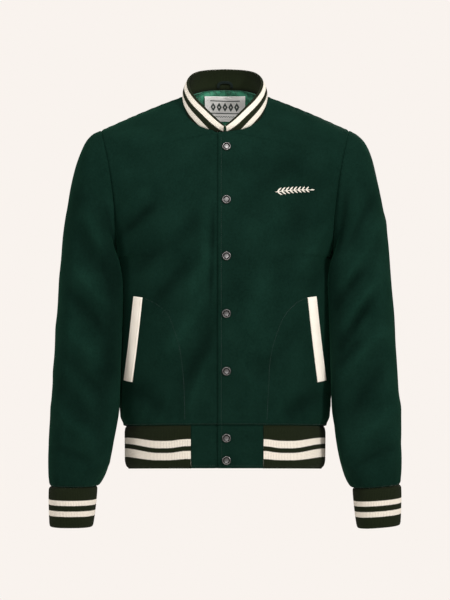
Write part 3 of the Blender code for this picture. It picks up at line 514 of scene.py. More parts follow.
def neck_frame(angle):
    """Normal and rise direction along the neckline, shared by the collar and the panels below it."""
    tangent = unit(neckline(np.minimum(angle + 2.0, 180.0)) - neckline(np.maximum(angle - 2.0, 0.0)))
    tangent[angle < 1.0], tangent[angle > 179.0] = (1.0, 0.0, 0.0), (-1.0, 0.0, 0.0)
    flat = np.stack([-tangent[..., 1], tangent[..., 0], 0 * tangent[..., 0]], axis=-1)
    outward = unit(flat) + np.array([0.0, 0.0, COLLAR_LEAN])
    normal = unit(outward - np.sum(outward * tangent, axis=-1, keepdims=True) * tangent)
    rise = unit(np.cross(tangent, normal))
    return normal, rise * np.sign(rise[..., 2:3])


def panel_rows(front):
    """Start, end, turn and crown of every row of half a front or half a back, hem to shoulder."""
    heights = np.array(LOWER_HEIGHTS + (ARMPIT,))
    thetas = armhole_angles()[1:]
    if front:
        column, sign, top, lift = "front", -1.0, NECK_PIT - LAP_DROP, HEM_RISE
        neck = neckline(np.linspace(180.0, 90.0, FRONT_NECK_ROWS + 1))
    else:
        column, sign, top, lift = "back", 1.0, NECK_BACK, 0.0
        neck = neckline(np.linspace(0.0, 90.0, BACK_NECK_ROWS + 1)[1:])
    above = np.linspace(ARMPIT, top, len(thetas) - len(neck) + 1)[1:]
    centre = np.concatenate([heights + lift * (ARMPIT - heights) / (ARMPIT - HEM_SEAM), above])
    start = np.stack([0 * centre, sign * curve(TORSO, "z", column, centre), centre], axis=-1)
    start = np.concatenate([start, neck])
    side = np.stack([curve(TORSO, "z", "half_width", heights), 0 * heights + SIDE_SEAM_Y, heights], axis=-1)
    end = np.concatenate([side, sleeve_ring(0, thetas if front else 360.0 - thetas)])
    rise = (180.0 - thetas) / 180.0
    turn = np.concatenate([0 * heights + 90.0, 90.0 - SHOULDER_TURN * smoothstep(0.0, 0.8, rise)])
    return start, end, turn, np.concatenate([0 * heights, SHOULDER_CROWN * rise])


def half_panel(front):
    """Grid of half a panel: rows hem to shoulder, columns from the centre out to the side.

    Each row is an arc between its two ends: part of a superellipse quadrant, scaled to fit, which
    leaves the centre square to it and has turned by the row's angle where it ends.
    """
    start, end, turn, crown = panel_rows(front)
    span = end - start
    exponent = 2 / SECTION_POWER
    phi_end = np.radians(turn)[:, None]
    full = np.sin(phi_end) ** exponent
    if front:
        first = np.arcsin((np.array(LAP_COLUMNS) / span[:, :1] * full) ** (1 / exponent))
        rest = np.linspace(0.0, 1.0, HALF_COLUMNS - len(LAP_COLUMNS) + 1)[1:]
        phi = np.concatenate([0 * phi_end, first, first[:, -1:] + (phi_end - first[:, -1:]) * rest], axis=1)
    else:
        phi = phi_end * np.linspace(0.0, 1.0, HALF_COLUMNS + 1)
    run = np.sin(phi) ** exponent / full
    bend = (1 - np.cos(phi) ** exponent) / (1 - np.cos(phi_end) ** exponent)
    x = start[:, None, 0] + span[:, None, 0] * run
    y = start[:, None, 1] + span[:, None, 1] * bend
    climb = np.where(np.arange(len(start))[:, None] < len(LOWER_HEIGHTS), bend, run)
    z = start[:, None, 2] + span[:, None, 2] * climb + (4 * run * (1 - run)) * crown[:, None]
    grid = np.stack([x, y, z], axis=-1)
    if front:
        centre_rows = len(start) - FRONT_NECK_ROWS - 1
        share = LAP / LAP_COLUMNS[1]
        grid[:centre_rows, 0] = flip_x(grid[:, 1] + share * (grid[:, 2] - grid[:, 1]))[:centre_rows]
        grid[centre_rows:, 1] = (grid[centre_rows:, 0] + grid[centre_rows:, 2]) / 2
    return grid


def normals(grid, wrap=False):
    """Unit normals of a grid, from the differences of neighbouring points."""
    if wrap:
        across = np.roll(grid, -1, axis=1) - np.roll(grid, 1, axis=1)
    else:
        across = np.gradient(grid, axis=1)
    return unit(np.cross(across, np.gradient(grid, axis=0)))


def panel_frames():
    """The half grids of front and back with their normals, which agree along the seams they share."""
    thetas = armhole_angles()
    first_armhole = len(LOWER_HEIGHTS)
    grids = {"front": half_panel(True), "back": half_panel(False)}
    shaded = {"front": normals(grids["front"]), "back": -normals(grids["back"])}
    shaded["back"][:, 0] = unit(shaded["back"][:, 0] * (0.0, 1.0, 1.0))
    for rows in (slice(0, first_armhole), slice(-1, None)):
        at = (rows, -1) if rows.start == 0 else rows
        shared = unit(shaded["front"][at] + shaded["back"][at])
        shaded["front"][at] = shaded["back"][at] = shared
    for name, neck_rows, first in (("front", FRONT_NECK_ROWS, 180.0), ("back", BACK_NECK_ROWS, 0.0)):
        ring = sleeve_ring(0, thetas if name == "front" else 360.0 - thetas)
        shaded[name][first_armhole:, -1] = armhole_radial(ring)
        shaded[name][0] = unit(shaded[name][0] * LEVEL)
        shaded[name][-neck_rows - 1:, 0] = neck_frame(np.linspace(first, 90.0, neck_rows + 1))[0]
        beside = shaded[name][-neck_rows - 1:, :2]
        shaded[name][-neck_rows - 1:, 1] = unit(beside[:, 0] + beside[:, 1])
    return grids, shaded


def mean_keys(grid):
    """Distance travelled down the rows of a grid, averaged over its columns."""
    steps = np.linalg.norm(np.diff(grid, axis=0), axis=-1).mean(axis=1)
    return np.concatenate([[0.0], np.cumsum(np.maximum(steps, 1e-3))])


def stations(length, step, near=EDGE_LINES, fixed=()):
    """Places along a length: evenly spaced, with closer ones beside its ends and at fixed places."""
    near, fixed = np.array(near), np.array(fixed, dtype=float)
    even = np.linspace(0.0, length, math.ceil(length / step) + 1)
    even = even[(even > near[-1] + 0.5 * step) & (even < length - near[-1] - 0.5 * step)]
    if len(fixed):
        even = even[np.abs(even[:, None] - fixed).min(axis=1) > 0.3 * step]
    return np.unique(np.concatenate([even, (0.0, length), near, length - near, fixed]))


def refine(grid, shade, step, corners=(), fixed=()):
    """A finer grid and its normals: cubics through the rows, then through the columns."""
    rows, columns = mean_keys(grid), mean_keys(grid.transpose(1, 0, 2))
    at = [np.interp(row, np.arange(len(rows)), rows) for row in fixed]
    both = spline(rows, np.concatenate([grid, shade], axis=-1), stations(rows[-1], step, fixed=at), corners)
    both = spline(columns, both.transpose(1, 0, 2), stations(columns[-1], step)).transpose(1, 0, 2)
    return both[..., :3], unit(both[..., 3:])


def refine_ring(grid, shade, step):
    """The same for closed rings: each ring is carried on past its start while it is refined."""
    wrapped = [np.concatenate([part[:, -3:], part, part[:, :4]], axis=1) for part in (grid, shade)]
    rows, columns = mean_keys(grid), mean_keys(wrapped[0].transpose(1, 0, 2))
    both = spline(rows, np.concatenate(wrapped, axis=-1), stations(rows[-1], step))
    first, last = columns[3], columns[-4]
    count = math.ceil((last - first) / step)
    at = np.linspace(first, last, count + 1)[:-1]
    both = spline(columns, both.transpose(1, 0, 2), at).transpose(1, 0, 2)
    return both[..., :3], unit(both[..., 3:])


def along_rows(grid):
    """Distance of every point from the first column, along its row."""
    steps = np.linalg.norm(np.diff(grid, axis=1), axis=-1)
    return np.concatenate([np.zeros((len(grid), 1)), np.cumsum(steps, axis=1)], axis=1)


def along_columns(grid):
    """Distance of every point from the first row, along its column."""
    return along_rows(grid.transpose(1, 0, 2)).T


# ---------------------------------------------------------------- relief of the cloth


def fold_relief(name, points):
    """Height of a piece's folds: along each segment a bell across it, faded at its ends.

    The bell's middle snakes by a sine of the place along the segment, so that no fold is quite straight.
    """
    relief = np.zeros(points.shape[:-1])
    for x0, z0, x1, z1, width, height in zip(*FOLDS[name].values()):
        along = np.array([x1 - x0, z1 - z0])
        length = np.linalg.norm(along)
        along = along / length
        dx, dz = points[..., 0] - x0, points[..., 2] - z0
        s = (dx * along[0] + dz * along[1]) / length
        across = dz * along[0] - dx * along[1] + 3.0 * np.sin(2.2 * s + 0.05 * x0)
        relief += height * bump(across, width) * smoothstep(-0.25, 0.25, s) * smoothstep(1.25, 0.75, s)
    return relief


def sag(points, seed):
    """Slow waves of hanging cloth, under a millimetre high: products of sines 80 mm long and more."""
    x, y, z = points[..., 0], points[..., 1], points[..., 2]
    return 0.45 * (
        np.sin(x / 13.0 + z / 37.0 + seed)
        * np.sin(z / 29.0 - x / 41.0 + 2.1 * seed)
        * np.sin(y / 23.0 + z / 51.0 + 0.7 * seed)
        + np.sin(x / 31.0 - z / 19.0 + 1.3 * seed) * np.sin(y / 17.0 + x / 23.0 + z / 61.0)
    )


def seam(distance, along, topstitch=None, pucker=0.22):
    """Relief beside a seam: bells for its tuck, its swell and the stitched groove, and sines for puckers."""
    made = -SEAM_TUCK * bump(distance, 1.1) + SEAM_SWELL * bump(distance - 4.2, 2.8)
    waves = np.sin(along / 1.9) * np.sin(along / 5.3 + 1.0) + 0.6 * np.sin(along / 3.1 + 2.0)
    made += pucker * waves * bump(distance - 3.0, 5.0)
    if topstitch:
        made -= 0.42 * bump(distance - topstitch, 0.75)
    return made


def line_distance(points, line):
    """Distance seen from the front between points and a line: the least of those to its stretches."""
    nearest = np.full(points.shape[:-1], np.inf)
    flat = points[..., [0, 2]]
    for a, b in zip(line[:-1], line[1:]):
        d = b - a
        t = np.clip(((flat - a) @ d) / (d @ d), 0.0, 1.0)
        nearest = np.minimum(nearest, np.linalg.norm(flat - a - t[..., None] * d, axis=-1))
    return nearest


def pocket_line(side, count=40):
    """Line of stitching round a pocket bag, as x and z: a cubic through its table."""
    share = np.linspace(0.0, 1.0, count)
    rows = POCKET_LINES[side]
    return np.stack([curve(rows, "share", "x", share), curve(rows, "share", "z", share)], axis=-1)


GRIDS, SHADES = panel_frames()
CORNER = np.zeros(HALF_COLUMNS + 1)
CORNER[:3] = (1.0, 1.0, 0.5)      # how sharply a row of columns turns at a corner of the panel's edge


def panel_distances(outer):
    """Distances along the cloth of a panel from its centre, hem, side and top."""
    u, v = along_rows(outer), along_columns(outer)
    return u, v, u[:, -1:] - u, v[-1:] - v


def calm_at_edges(u, v, from_side, from_top, neck):
    """Share of the folds that a panel keeps: 0 at its sewn edges and 1 from EDGE_CALM on."""
    calm = smoothstep(0.0, EDGE_CALM, np.minimum(np.minimum(from_side, v), from_top))
    return calm * (1 - neck * (1 - smoothstep(0.0, EDGE_CALM, u)))


def calm_by_sleeve(relief, shade):
    """Relief that loses its ridges, but not its hollows, where the torso turns to face a sleeve."""
    kept = smoothstep(0.93, 0.75, shade[..., 0])
    return relief * (kept + (1 - kept) * (relief < 0))


def hem_roll(v):
    """Swell of the wool over the hem seam, and the groove of its stitching: one bell less another."""
    return 1.5 * bump(v - 4.0, 3.4) - 0.5 * bump(v - HEM_STITCH, 0.9)


def front_cloth(side):
    """Outer face of one front: the half grid refined, its lap stepped, its folds and seams raised."""
    pit = len(GRIDS["front"]) - FRONT_NECK_ROWS - 1
    armpit = len(LOWER_HEIGHTS)
    outer, shade = refine(
        GRIDS["front"],
        SHADES["front"],
        CLOTH_STEP,
        corners=((pit - 1, CORNER), (pit, CORNER), (armpit, CORNER[::-1])),
        fixed=(pit - 1.0, pit - 0.75, pit - 0.5, pit - 0.25, pit, armpit),
    )
    neck = smoothstep(NECK_PIT - LAP_DROP, NECK_PIT, outer[:, :1, 2])
    over = side == "left"
    if not over:
        under = 1 - smoothstep(LAP + 1.0, LAP + 1.0 + LAP_BLEND, outer[..., 0])
        outer[..., 1] += LAP_STEP * under
        outer[..., 2] -= LAP_STEP * under * smoothstep(NECK_PIT - 12.0, NECK_PIT - 4.0, outer[..., 2])
    u, v, from_side, from_top = distances = panel_distances(outer)
    mirror = np.array([SIDES[side], 1.0, 1.0])
    placed = outer * mirror
    free = smoothstep(LAP, LAP + 2 * LAP_BLEND, outer[..., 0])
    relief = (fold_relief("front_" + side, placed) + sag(placed, 1.0 + over)) * free
    relief = calm_by_sleeve(relief * calm_at_edges(*distances, neck), shade)
    relief += seam(from_side, v) + seam(from_top, u) + seam(v, u, topstitch=HEM_STITCH, pucker=0.35)
    relief += neck * seam(u, v, pucker=0.3)
    relief += hem_roll(v)
    edge = -0.9 * bump(u, 0.8) - 0.55 * bump(u - PLACKET_STITCH, 0.85) + 0.75 * bump(u - 3.4, 2.2)
    relief += (1 - neck) * edge * (1.0 if over else 0.3)
    if over:
        relief -= 0.25 * bump(outer[..., 0] - 8.5, 1.2) * (1 - neck)
        for height in SNAP_HEIGHTS:
            relief -= 0.5 * bump(np.hypot(placed[..., 0] - SNAP_X, placed[..., 2] - height), 11.0)
    pocket = line_distance(placed, pocket_line(side))
    relief += -0.55 * bump(pocket, 1.6) + 0.3 * bump(pocket - 6.0, 4.0)
    return placed + relief[..., None] * shade * mirror, shade * mirror


def back_cloth(sign):
    """Outer face of one half of the back: the half grid refined, its folds and seams raised."""
    pit = len(GRIDS["back"]) - BACK_NECK_ROWS - 1
    armpit = len(LOWER_HEIGHTS)
    corners = ((pit, CORNER), (armpit, CORNER[::-1]))
    outer, shade = refine(GRIDS["back"], SHADES["back"], CLOTH_STEP, corners=corners, fixed=(pit, armpit))
    u, v, from_side, from_top = distances = panel_distances(outer)
    neck = smoothstep(0.2, 1.0, outer[:, :1, 0])
    mirror = np.array([sign, 1.0, 1.0])
    placed = outer * mirror
    relief = (fold_relief("back", placed) + sag(placed, 3.0)) * calm_at_edges(*distances, neck)
    relief = calm_by_sleeve(relief, shade)
    # Over the neck lining the hollows stay shallow, so that the cloth doesn't sink through it.
    lined = smoothstep(-190.0, -172.0, outer[..., 2]) * smoothstep(150.0, 132.0, outer[..., 0])
    relief += lined * (np.maximum(relief, -0.2) - relief)
    relief += seam(from_side, v) + seam(from_top, u)
    relief += seam(v, outer[..., 0], topstitch=HEM_STITCH, pucker=0.35) + neck * seam(u, v) + hem_roll(v)
    return placed + relief[..., None] * shade * mirror, shade * mirror


def ring_angles():
    """Angles of the points all round the armhole, through the front and on through the back."""
    below = armhole_angles()
    return np.concatenate([below[::-1], 360.0 - below[1:-1]])


def cuff_shift(side, x):
    """How much higher the cuff is at x: a straight slope of CUFF_TILT to each side of its middle."""
    outer, inner = SLEEVE["outer_x"][-1], SLEEVE["inner_x"][-1]
    return CUFF_TILT[side] * (x - (outer + inner) / 2) / ((outer - inner) / 2)


def hang_inward(side, outer, shade, v):
    """Draw the front inner corner of a sleeve in over the torso's side, as far as REACH says.

    REACH is read as seen by the camera, so it grows with the depth; the share of the way that a point
    goes is a bell over its depth, faded towards the armhole, the cuff and the outer side.
    """
    x, y, z = np.moveaxis(outer, -1, 0)
    low, high = REACH["z"][-1], REACH["z"][0]
    goal = curve(REACH, "z", side, np.clip(z, low, high)) * (1 + y / CAMERA_DISTANCE)
    share = bump(y - REACH_Y, REACH_BREADTH) * smoothstep(0.5, 0.0, shade[..., 0]) * smoothstep(1.0, 26.0, v)
    share = share * smoothstep(*REACH_TOP, z) * smoothstep(low - 12.0, low + 20.0, z)
    beside = torso_x(y, np.clip(z, HEM_SEAM, ARMPIT)) + SLEEVE_CLEAR
    reached = np.maximum(x - np.maximum(x - goal, 0.0) * share, np.minimum(x, beside))
    outer[..., 0] = np.where(share > 0.001, reached, x)
    return outer, np.where((v > 12.0)[..., None], normals(outer, wrap=True), shade)


def sleeve_cloth(side):
    """Outer face of a sleeve: rings from the armhole to the cuff, refined, folded and gathered.

    The gathers over the cuff are sines round the ring that fade with the distance from it.
    """
    thetas = ring_angles()
    grid = np.stack([sleeve_ring(row, thetas) for row in range(len(SLEEVE["outer_x"]))])
    grid[..., 2] += smoothstep(*CUFF_TILT_HEIGHTS, grid[..., 2]) * cuff_shift(side, grid[..., 0])
    shade = normals(grid, wrap=True)
    shade[0] = armhole_radial(grid[0])
    shade[-1] = unit(shade[-1] * LEVEL)
    outer, shade = refine_ring(grid, shade, SLEEVE_STEP)
    u, v = along_rows(outer), along_columns(outer)
    outer, shade = hang_inward(side, outer, shade, v)
    z, facing, from_cuff = outer[..., 2], shade[..., 0], v[-1:] - v
    mirror = np.array([SIDES[side], 1.0, 1.0])
    placed = outer * mirror
    free = smoothstep(-0.35, 0.1, facing) * smoothstep(0.0, 18.0, np.minimum(v, from_cuff))
    lower = -40.0 * smoothstep(0.2, 0.8, shade[..., 1:2]) * DOWN
    relief = (fold_relief("sleeve_" + side, placed + lower) + 1.3 * sag(placed, 5.0 + SIDES[side])) * free
    relief += seam(v, u, pucker=0.3) + seam(from_cuff, u, topstitch=CUFF_STITCH, pucker=0.0)
    relief -= 1.5 * bump(v, 2.6) * smoothstep(-110.0, -200.0, z)
    relief += 1.4 * bump(v - 9.0, 6.0) * smoothstep(-130.0, -220.0, z) * smoothstep(0.3, -0.2, facing)
    turns = 2 * math.pi * np.arange(outer.shape[1]) / outer.shape[1]
    gathers = np.sin(19 * turns + 0.5) + 0.6 * np.sin(31 * turns + 1.7)
    relief += 0.75 * gathers * np.exp(-from_cuff / 16.0) * smoothstep(0.0, 5.0, from_cuff)
    return placed + relief[..., None] * shade * mirror, shade * mirror


def read_along(keys, line, at):
    """Values kept along a line, such as its points, at distances along it: straight between its keys."""
    return np.stack([np.interp(at, keys, line[:, axis]) for axis in range(3)], axis=-1)


def smooth_line(points, step):
    """A line of straight stretches as a smooth one: a cubic through its points, in equal steps."""
    keys = mean_keys(points[:, None])
    fine = spline(keys, points, np.linspace(0.0, keys[-1], max(8, int(keys[-1] / 1.5))))
    keys = mean_keys(fine[:, None])
    return read_along(keys, fine, np.linspace(0.0, keys[-1], max(1, round(keys[-1] / step)) + 1))


def hem_line():
    """Hem seam from the centre front round the wearer's left, back and right to the front again."""
    left = np.concatenate([GRIDS["front"][0, 1:], GRIDS["back"][0][-2::-1]])
    return smooth_line(np.concatenate([left, flip_x(left)[-2::-1]]), 1.5)


def flat_outward(line):
    """Level unit vectors square to a line that runs round the body against the clock from above."""
    tangent = unit(np.gradient(line, axis=0))
    return unit(np.stack([tangent[:, 1], -tangent[:, 0], 0 * tangent[:, 0]], axis=-1))


def lift(cloth, x, z):
    """Points and normals of a cloth at places seen from the front.

    The depth is that of the tangent planes of the four nearest points that face the front, weighed by
    one over the square of their distance.
    """
    flat, normal = (part.reshape(-1, 3) for part in cloth)
    place = np.stack([x, z], axis=-1).reshape(-1, 2)
    away = place[:, None] - flat[:, [0, 2]]
    distance = np.sum(away**2, axis=-1) + 1e5 * (normal[:, 1] > -0.15)
    near = np.argpartition(distance, 4, axis=1)[:, :4]
    away = np.take_along_axis(away, near[..., None], axis=1)
    weight = 1 / (np.take_along_axis(distance, near, axis=1) + 0.05)
    weight = weight / weight.sum(axis=1, keepdims=True)
    depth = flat[near, 1] - np.sum(normal[near][..., [0, 2]] * away, axis=-1) / normal[near, 1]
    points = np.stack([place[:, 0], np.sum(weight * depth, axis=1), place[:, 1]], axis=-1)
    facing = unit(np.sum(weight[..., None] * normal[near], axis=1))
    return points.reshape(*x.shape, 3), facing.reshape(*x.shape, 3)


# ---------------------------------------------------------------- meshes


def uv_of(grid, wrap=False):
    """Width and height travelled across a grid; a wrapped one has a column more."""
    closed = np.concatenate([grid, grid[:, :1]], axis=1) if wrap else grid
    return np.stack([along_rows(closed), along_columns(closed)], axis=-1)


def patch(grid, uv=None, slot=0, wrap=False, flip=False):
    """Faces of a grid of points with their UVs in metres: points, corners, UVs of the corners, slot."""
    uv = uv_of(grid, wrap) if uv is None else uv
    rows, columns = grid.shape[:2]
    points = np.arange(rows * columns).reshape(rows, columns)
    if wrap:
        points = np.concatenate([points, points[:, :1]], axis=1)
    corners = []
    for index in (points, np.arange(uv.shape[0] * uv.shape[1]).reshape(uv.shape[:2])):
        quads = np.stack([index[:-1, :-1], index[:-1, 1:], index[1:, 1:], index[1:, :-1]], axis=-1)
        corners.append(quads.reshape(-1, 4)[:, ::-1] if flip else quads.reshape(-1, 4))
    return grid.reshape(-1, 3), corners[0], uv.reshape(-1, 2)[corners[1]] * MM, slot


def rows_off_centre(outer):
    """Rows of half a back from the first that starts beside the middle: the neckline."""
    return slice(int(np.argmax(np.abs(outer[:, 0, 0]) > 1e-3)) - 1, None)


def shell(outer, inner, wrap=False, flip=False, inside=0, closed_rows=None, uv=None):
    """Patches of a closed wall between two grids: both faces and the rims between their edges.

    closed_rows are the rows whose first column gets a rim; the others meet a mirrored half there.
    """
    uv = uv_of(outer, wrap) if uv is None else uv
    up, right = np.array([0.0, RIM_UV]), np.array([RIM_UV, 0.0])
    made = [patch(outer, uv, 0, wrap, flip), patch(inner, uv, inside, wrap, not flip)]
    made.append(patch(np.stack([inner[0], outer[0]]), np.stack([uv[0] - up, uv[0]]), 0, wrap, flip))
    made.append(patch(np.stack([outer[-1], inner[-1]]), np.stack([uv[-1], uv[-1] + up]), 0, wrap, flip))
    if not wrap:
        rows = slice(None) if closed_rows is None else closed_rows
        first = np.stack([uv[rows, 0] - right, uv[rows, 0]], axis=1)
        made.append(patch(np.stack([inner[rows, 0], outer[rows, 0]], axis=1), first, 0, False, flip))
        last = np.stack([uv[:, -1], uv[:, -1] + right], axis=1)
        made.append(patch(np.stack([outer[:, -1], inner[:, -1]], axis=1), last, 0, False, flip))
    return made


def add_piece(name, patches, materials, nodes, cut=None, folds=None):
    """One object of patches whose shared edges are welded, standing for its CAD nodes.

    Its faces are turned outward by the sign of the volume they enclose, the sum of a . (b x c) over them.
    folds names the table whose ridges and hollows are kept with the points, for the wool's painted light and
    shade.
    """
    offsets = np.cumsum([0] + [len(points) for points, _, _, _ in patches])
    points = np.concatenate([part[0] for part in patches])
    faces = np.concatenate([part[1] + offset for part, offset in zip(patches, offsets)])
    uv = np.concatenate([part[2] for part in patches])
    slots = np.concatenate([np.full(len(part[1]), part[3]) for part in patches])
    _, first, index = np.unique(np.round(points, 3), axis=0, return_index=True, return_inverse=True)
    points, faces = points[first], index.ravel()[faces]
    a, b, c, d = points[faces.T] - points.mean(axis=0)
    volume = np.sum(a * np.cross(b, c)) + np.sum(a * np.cross(c, d))
    if volume < 0:
        faces, uv = faces[:, ::-1], uv[:, ::-1]
    kept = faces != np.roll(faces, 1, axis=1)
    whole = kept.sum(axis=1) > 2
    faces, uv, slots, kept = faces[whole], uv[whole], slots[whole], kept[whole]

    mesh = bpy.data.meshes.new(name)
    mesh.vertices.add(len(points))
    mesh.vertices.foreach_set("co", (points * MM).ravel())
    mesh.loops.add(int(kept.sum()))
    mesh.loops.foreach_set("vertex_index", faces[kept])
    mesh.polygons.add(len(faces))
    mesh.polygons.foreach_set("loop_start", np.concatenate([[0], np.cumsum(kept.sum(axis=1))[:-1]]))
    mesh.polygons.foreach_set("material_index", slots)
    mesh.polygons.foreach_set("use_smooth", np.ones(len(faces), dtype=bool))
    for made in materials:
        mesh.materials.append(made)
    mesh.update(calc_edges=True)
    mesh.uv_layers.new(name="UVMap").data.foreach_set("uv", uv[kept].ravel())
    if folds:
        # Heights of the folds and slow waves, kept for the wool's painted light on their ridges and painted
        # shade in their hollows.
        heights = fold_relief(folds, points) + 1.6 * sag(points, 2.0)
        mesh.attributes.new("fold_height_for_painted_shade", "FLOAT", "POINT").data.foreach_set("value", heights)
    mesh.validate()
    made = bpy.data.objects.new(name, mesh)
    bpy.context.scene.collection.objects.link(made)
    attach(made, "root")
    if nodes:
        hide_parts(*nodes)
    if cut:
        cut[2] if len(cut) > 2 else None
    return made


def turned(profile, centre, axis, steps=44):
    """Closed surface of a profile turned about an axis: radius times cosine and sine, and height along it."""
    side = unit(np.cross(axis, (0.0, 0.0, 1.0)))
    up = np.cross(side, axis)
    turn = 2 * math.pi * np.arange(steps) / steps
    ring = np.cos(turn)[:, None] * side + np.sin(turn)[:, None] * up
    radius, height = (np.asarray(column)[:, None, None] for column in profile.values())
    return patch(centre + radius * ring + height * axis, wrap=True)


def stitches(line, normal, pitch=STITCH_PITCH, length=STITCH_LENGTH, radius=STITCH_RADIUS, sink=0.3):
    """A row of short round threads along a line: one small capsule for each stitch.

    A capsule is five rings along the thread, closed at both ends, whose ends dip into the cloth by the
    square of their place along it.
    """
    keys = mean_keys(line[:, None])
    count = int(keys[-1] / pitch)
    at = (np.arange(count) + 0.5) * keys[-1] / count
    centre, up = read_along(keys, line, at), unit(read_along(keys, normal, at))
    along = unit(read_along(keys, np.gradient(line, keys, axis=0), at))
    parts = (centre, along, unit(np.cross(up, along)), up)
    centre, along, across, up = (part[:, None, None] for part in parts)
    s = np.array([-1.0, -0.72, 0.0, 0.72, 1.0])[:, None, None]
    girth = radius * np.array([0.0, 0.85, 1.0, 0.85, 0.0])[:, None, None]
    turn = (2 * math.pi * np.arange(STITCH_SIDES) / STITCH_SIDES)[None, :, None]
    low = sink * radius + 0.5 * radius * s**2
    threads = centre + s * length / 2 * along + girth * (np.cos(turn) * across + np.sin(turn) * up) - low * up
    return [patch(thread, wrap=True) for thread in threads]


def closed_tube(grid):
    """Patch of rings along a line whose two ends are closed at the middles of the end rings."""
    ends = [np.broadcast_to(grid[row].mean(axis=0), (1, *grid.shape[1:])) for row in (0, -1)]
    return patch(np.concatenate([ends[0], grid, ends[1]]), wrap=True)


def tube(line, normal, radius, rings=8):
    """Closed round thread along a line, its radius given at every point: circles square to the line."""
    across = unit(np.cross(normal, unit(np.gradient(line, axis=0))))
    turn = (2 * math.pi * np.arange(rings) / rings)[:, None]
    circle = np.cos(turn) * across[:, None] + np.sin(turn) * normal[:, None]
    return closed_tube(line[:, None] + radius[:, None, None] * circle)


def section(height, step):
    """Shares of the face of a folded band, the angles round its fold, and the shares up its inside."""
    shares = stations(height, step, near=(0.6, 1.3, 2.2, 3.4)) / height
    return shares, np.linspace(0.0, math.pi, 8)[1:-1], np.linspace(1.0, 0.0, max(4, round(height / 6.0)))


def even_knit(share):
    """Thickness of a folded knit that is the same all the way down."""
    return RIB + 0 * share


def ribbed_band(face, outward, tip, height, thickness, stripes, wrap=False, inner_share=0.6):
    """Folded rib knit: a face of points by share and column, folded at its free edge over itself.

    The fold is half a circle of half the thickness.  Every column is one of POINTS_PER_RIB across a rib;
    the ribs stand out square to the section, and stripes turns shares and columns into the height that
    the knit's colours are read at.
    """
    shares, turn, back = section(height, 2.3)
    outer, rear = face(shares), face(back)
    deep = thickness(1.0) / 2
    level = np.broadcast_to(outward, outer.shape)
    rear_level = np.broadcast_to(outward, rear.shape)
    direction = np.cos(turn)[:, None, None] * level[-1] + np.sin(turn)[:, None, None] * tip
    fold = outer[-1] - deep * level[-1] + deep * direction
    inner = rear - thickness(back)[:, None, None] * rear_level
    grid = np.concatenate([outer, fold, inner])
    rise = np.concatenate([level, direction, -inner_share * rear_level])
    place = np.arange(grid.shape[1]) % POINTS_PER_RIB
    ridge = np.array([0.0, 0.78, 1.0, 1.0, 0.78])[place]
    grown = smoothstep(0.0, 2.6, np.concatenate([shares * height, 0 * turn + 9.0, back * height]))
    grid = grid + RIB_RISE * (grown[:, None] * ridge)[..., None] * rise
    columns = np.arange(grid.shape[1] + wrap) / POINTS_PER_RIB * RIB_PITCH
    travelled = stripes(shares)
    rest = np.repeat(stripes(np.array([1.0])), len(turn), axis=0)
    inside = np.full((len(back), travelled.shape[1]), INSIDE_READS) + (1 - back[:, None]) * height
    v = np.concatenate([travelled, rest + deep * turn[:, None], inside])
    if wrap:
        v = np.concatenate([v, v[:, :1]], axis=1)
    uv = np.stack([np.broadcast_to(columns, v.shape), v], axis=-1)
    made = [patch(grid, uv, wrap=wrap), patch(grid[[-1, 0]], uv[[-1, 0]], wrap=wrap)]
    if not wrap:
        half = (len(grid) + 1) // 2
        for column in (0, -1):
            edge, edge_uv = grid[:, column], uv[:, column]
            pair = [edge[:half], edge[::-1][:half]]
            pair_uv = [edge_uv[:half], edge_uv[:half] + (1.0, 0.0)]
            order = 1 if column else -1
            made.append(patch(np.stack(pair[::order], axis=1), np.stack(pair_uv[::order], axis=1)))
    return made


# ---------------------------------------------------------------- finishes


class Graph:
    """A node tree, with each node's inputs given by name or number as values or as other nodes' outputs."""

    def __init__(self, tree):
        self.tree = tree

    def place(self, kind, inputs=(), **settings):
        """A new node with its settings made and its inputs fed."""
        made = self.tree.nodes.new("ShaderNode" + kind)
        for name, value in settings.items():
            setattr(made, name, value)
        for key, value in dict(inputs).items():
            if isinstance(value, bpy.types.NodeSocket):
                self.tree.links.new(value, made.inputs[key])
            else:
                made.inputs[key].default_value = value
        return made

    def add(self, kind, inputs=(), output=0, **settings):
        """One output of a new node."""
        return self.place(kind, inputs, **settings).outputs[output]

    def math(self, operation, *values):
        """Result of an operation on numbers."""
        return self.add("Math", dict(enumerate(values)), operation=operation)

    def difference(self, a, b):
        """Size of the difference of two numbers."""
        return self.math("ABSOLUTE", self.math("SUBTRACT", a, b))

    def ramp(self, value, low=0.0, high=1.0, start=0.0, end=1.0):
        """A number that goes from start to end while the value goes from low to high."""
        limits = {"From Min": low, "From Max": high, "To Min": start, "To Max": end}
        return self.add("MapRange", {"Value": value, **limits})

    def blend(self, share, low, high, **settings):
        """Colour between two, by a share from 0 to 1."""
        return self.add("Mix", {"Factor": share, "A": low, "B": high}, output=2, data_type="RGBA", **settings)

    def dim(self, colour, tone):
        """Colour times a number."""
        return self.blend(1.0, colour, tone, blend_type="MULTIPLY")

    def noise(self, vector, scale, detail=2.0, roughness=0.55):
        """Cloudy pattern, from 0 to 1."""
        inputs = {"Vector": vector, "Scale": scale, "Detail": detail, "Roughness": roughness}
        return self.add("TexNoise", inputs)

    def stretched(self, vector, scale, rotation=(0.0, 0.0, 0.0)):
        """A vector turned and scaled, which stretches what is read at it."""
        return self.add("Mapping", {"Vector": vector, "Scale": scale, "Rotation": rotation})

    def split(self, vector):
        """First two numbers of a vector."""
        return self.place("SeparateXYZ", {0: vector}).outputs[:2]

    def coordinates(self, which):
        """Place on the piece: Object or UV."""
        return self.add("TexCoord", output=("Generated", "Normal", "UV", "Object").index(which))

    def shared(self, tree, vector, **inputs):
        """Outputs of a shared group of nodes, read at a vector."""
        return self.place("Group", {"Vector": vector, **inputs}, node_tree=tree).outputs


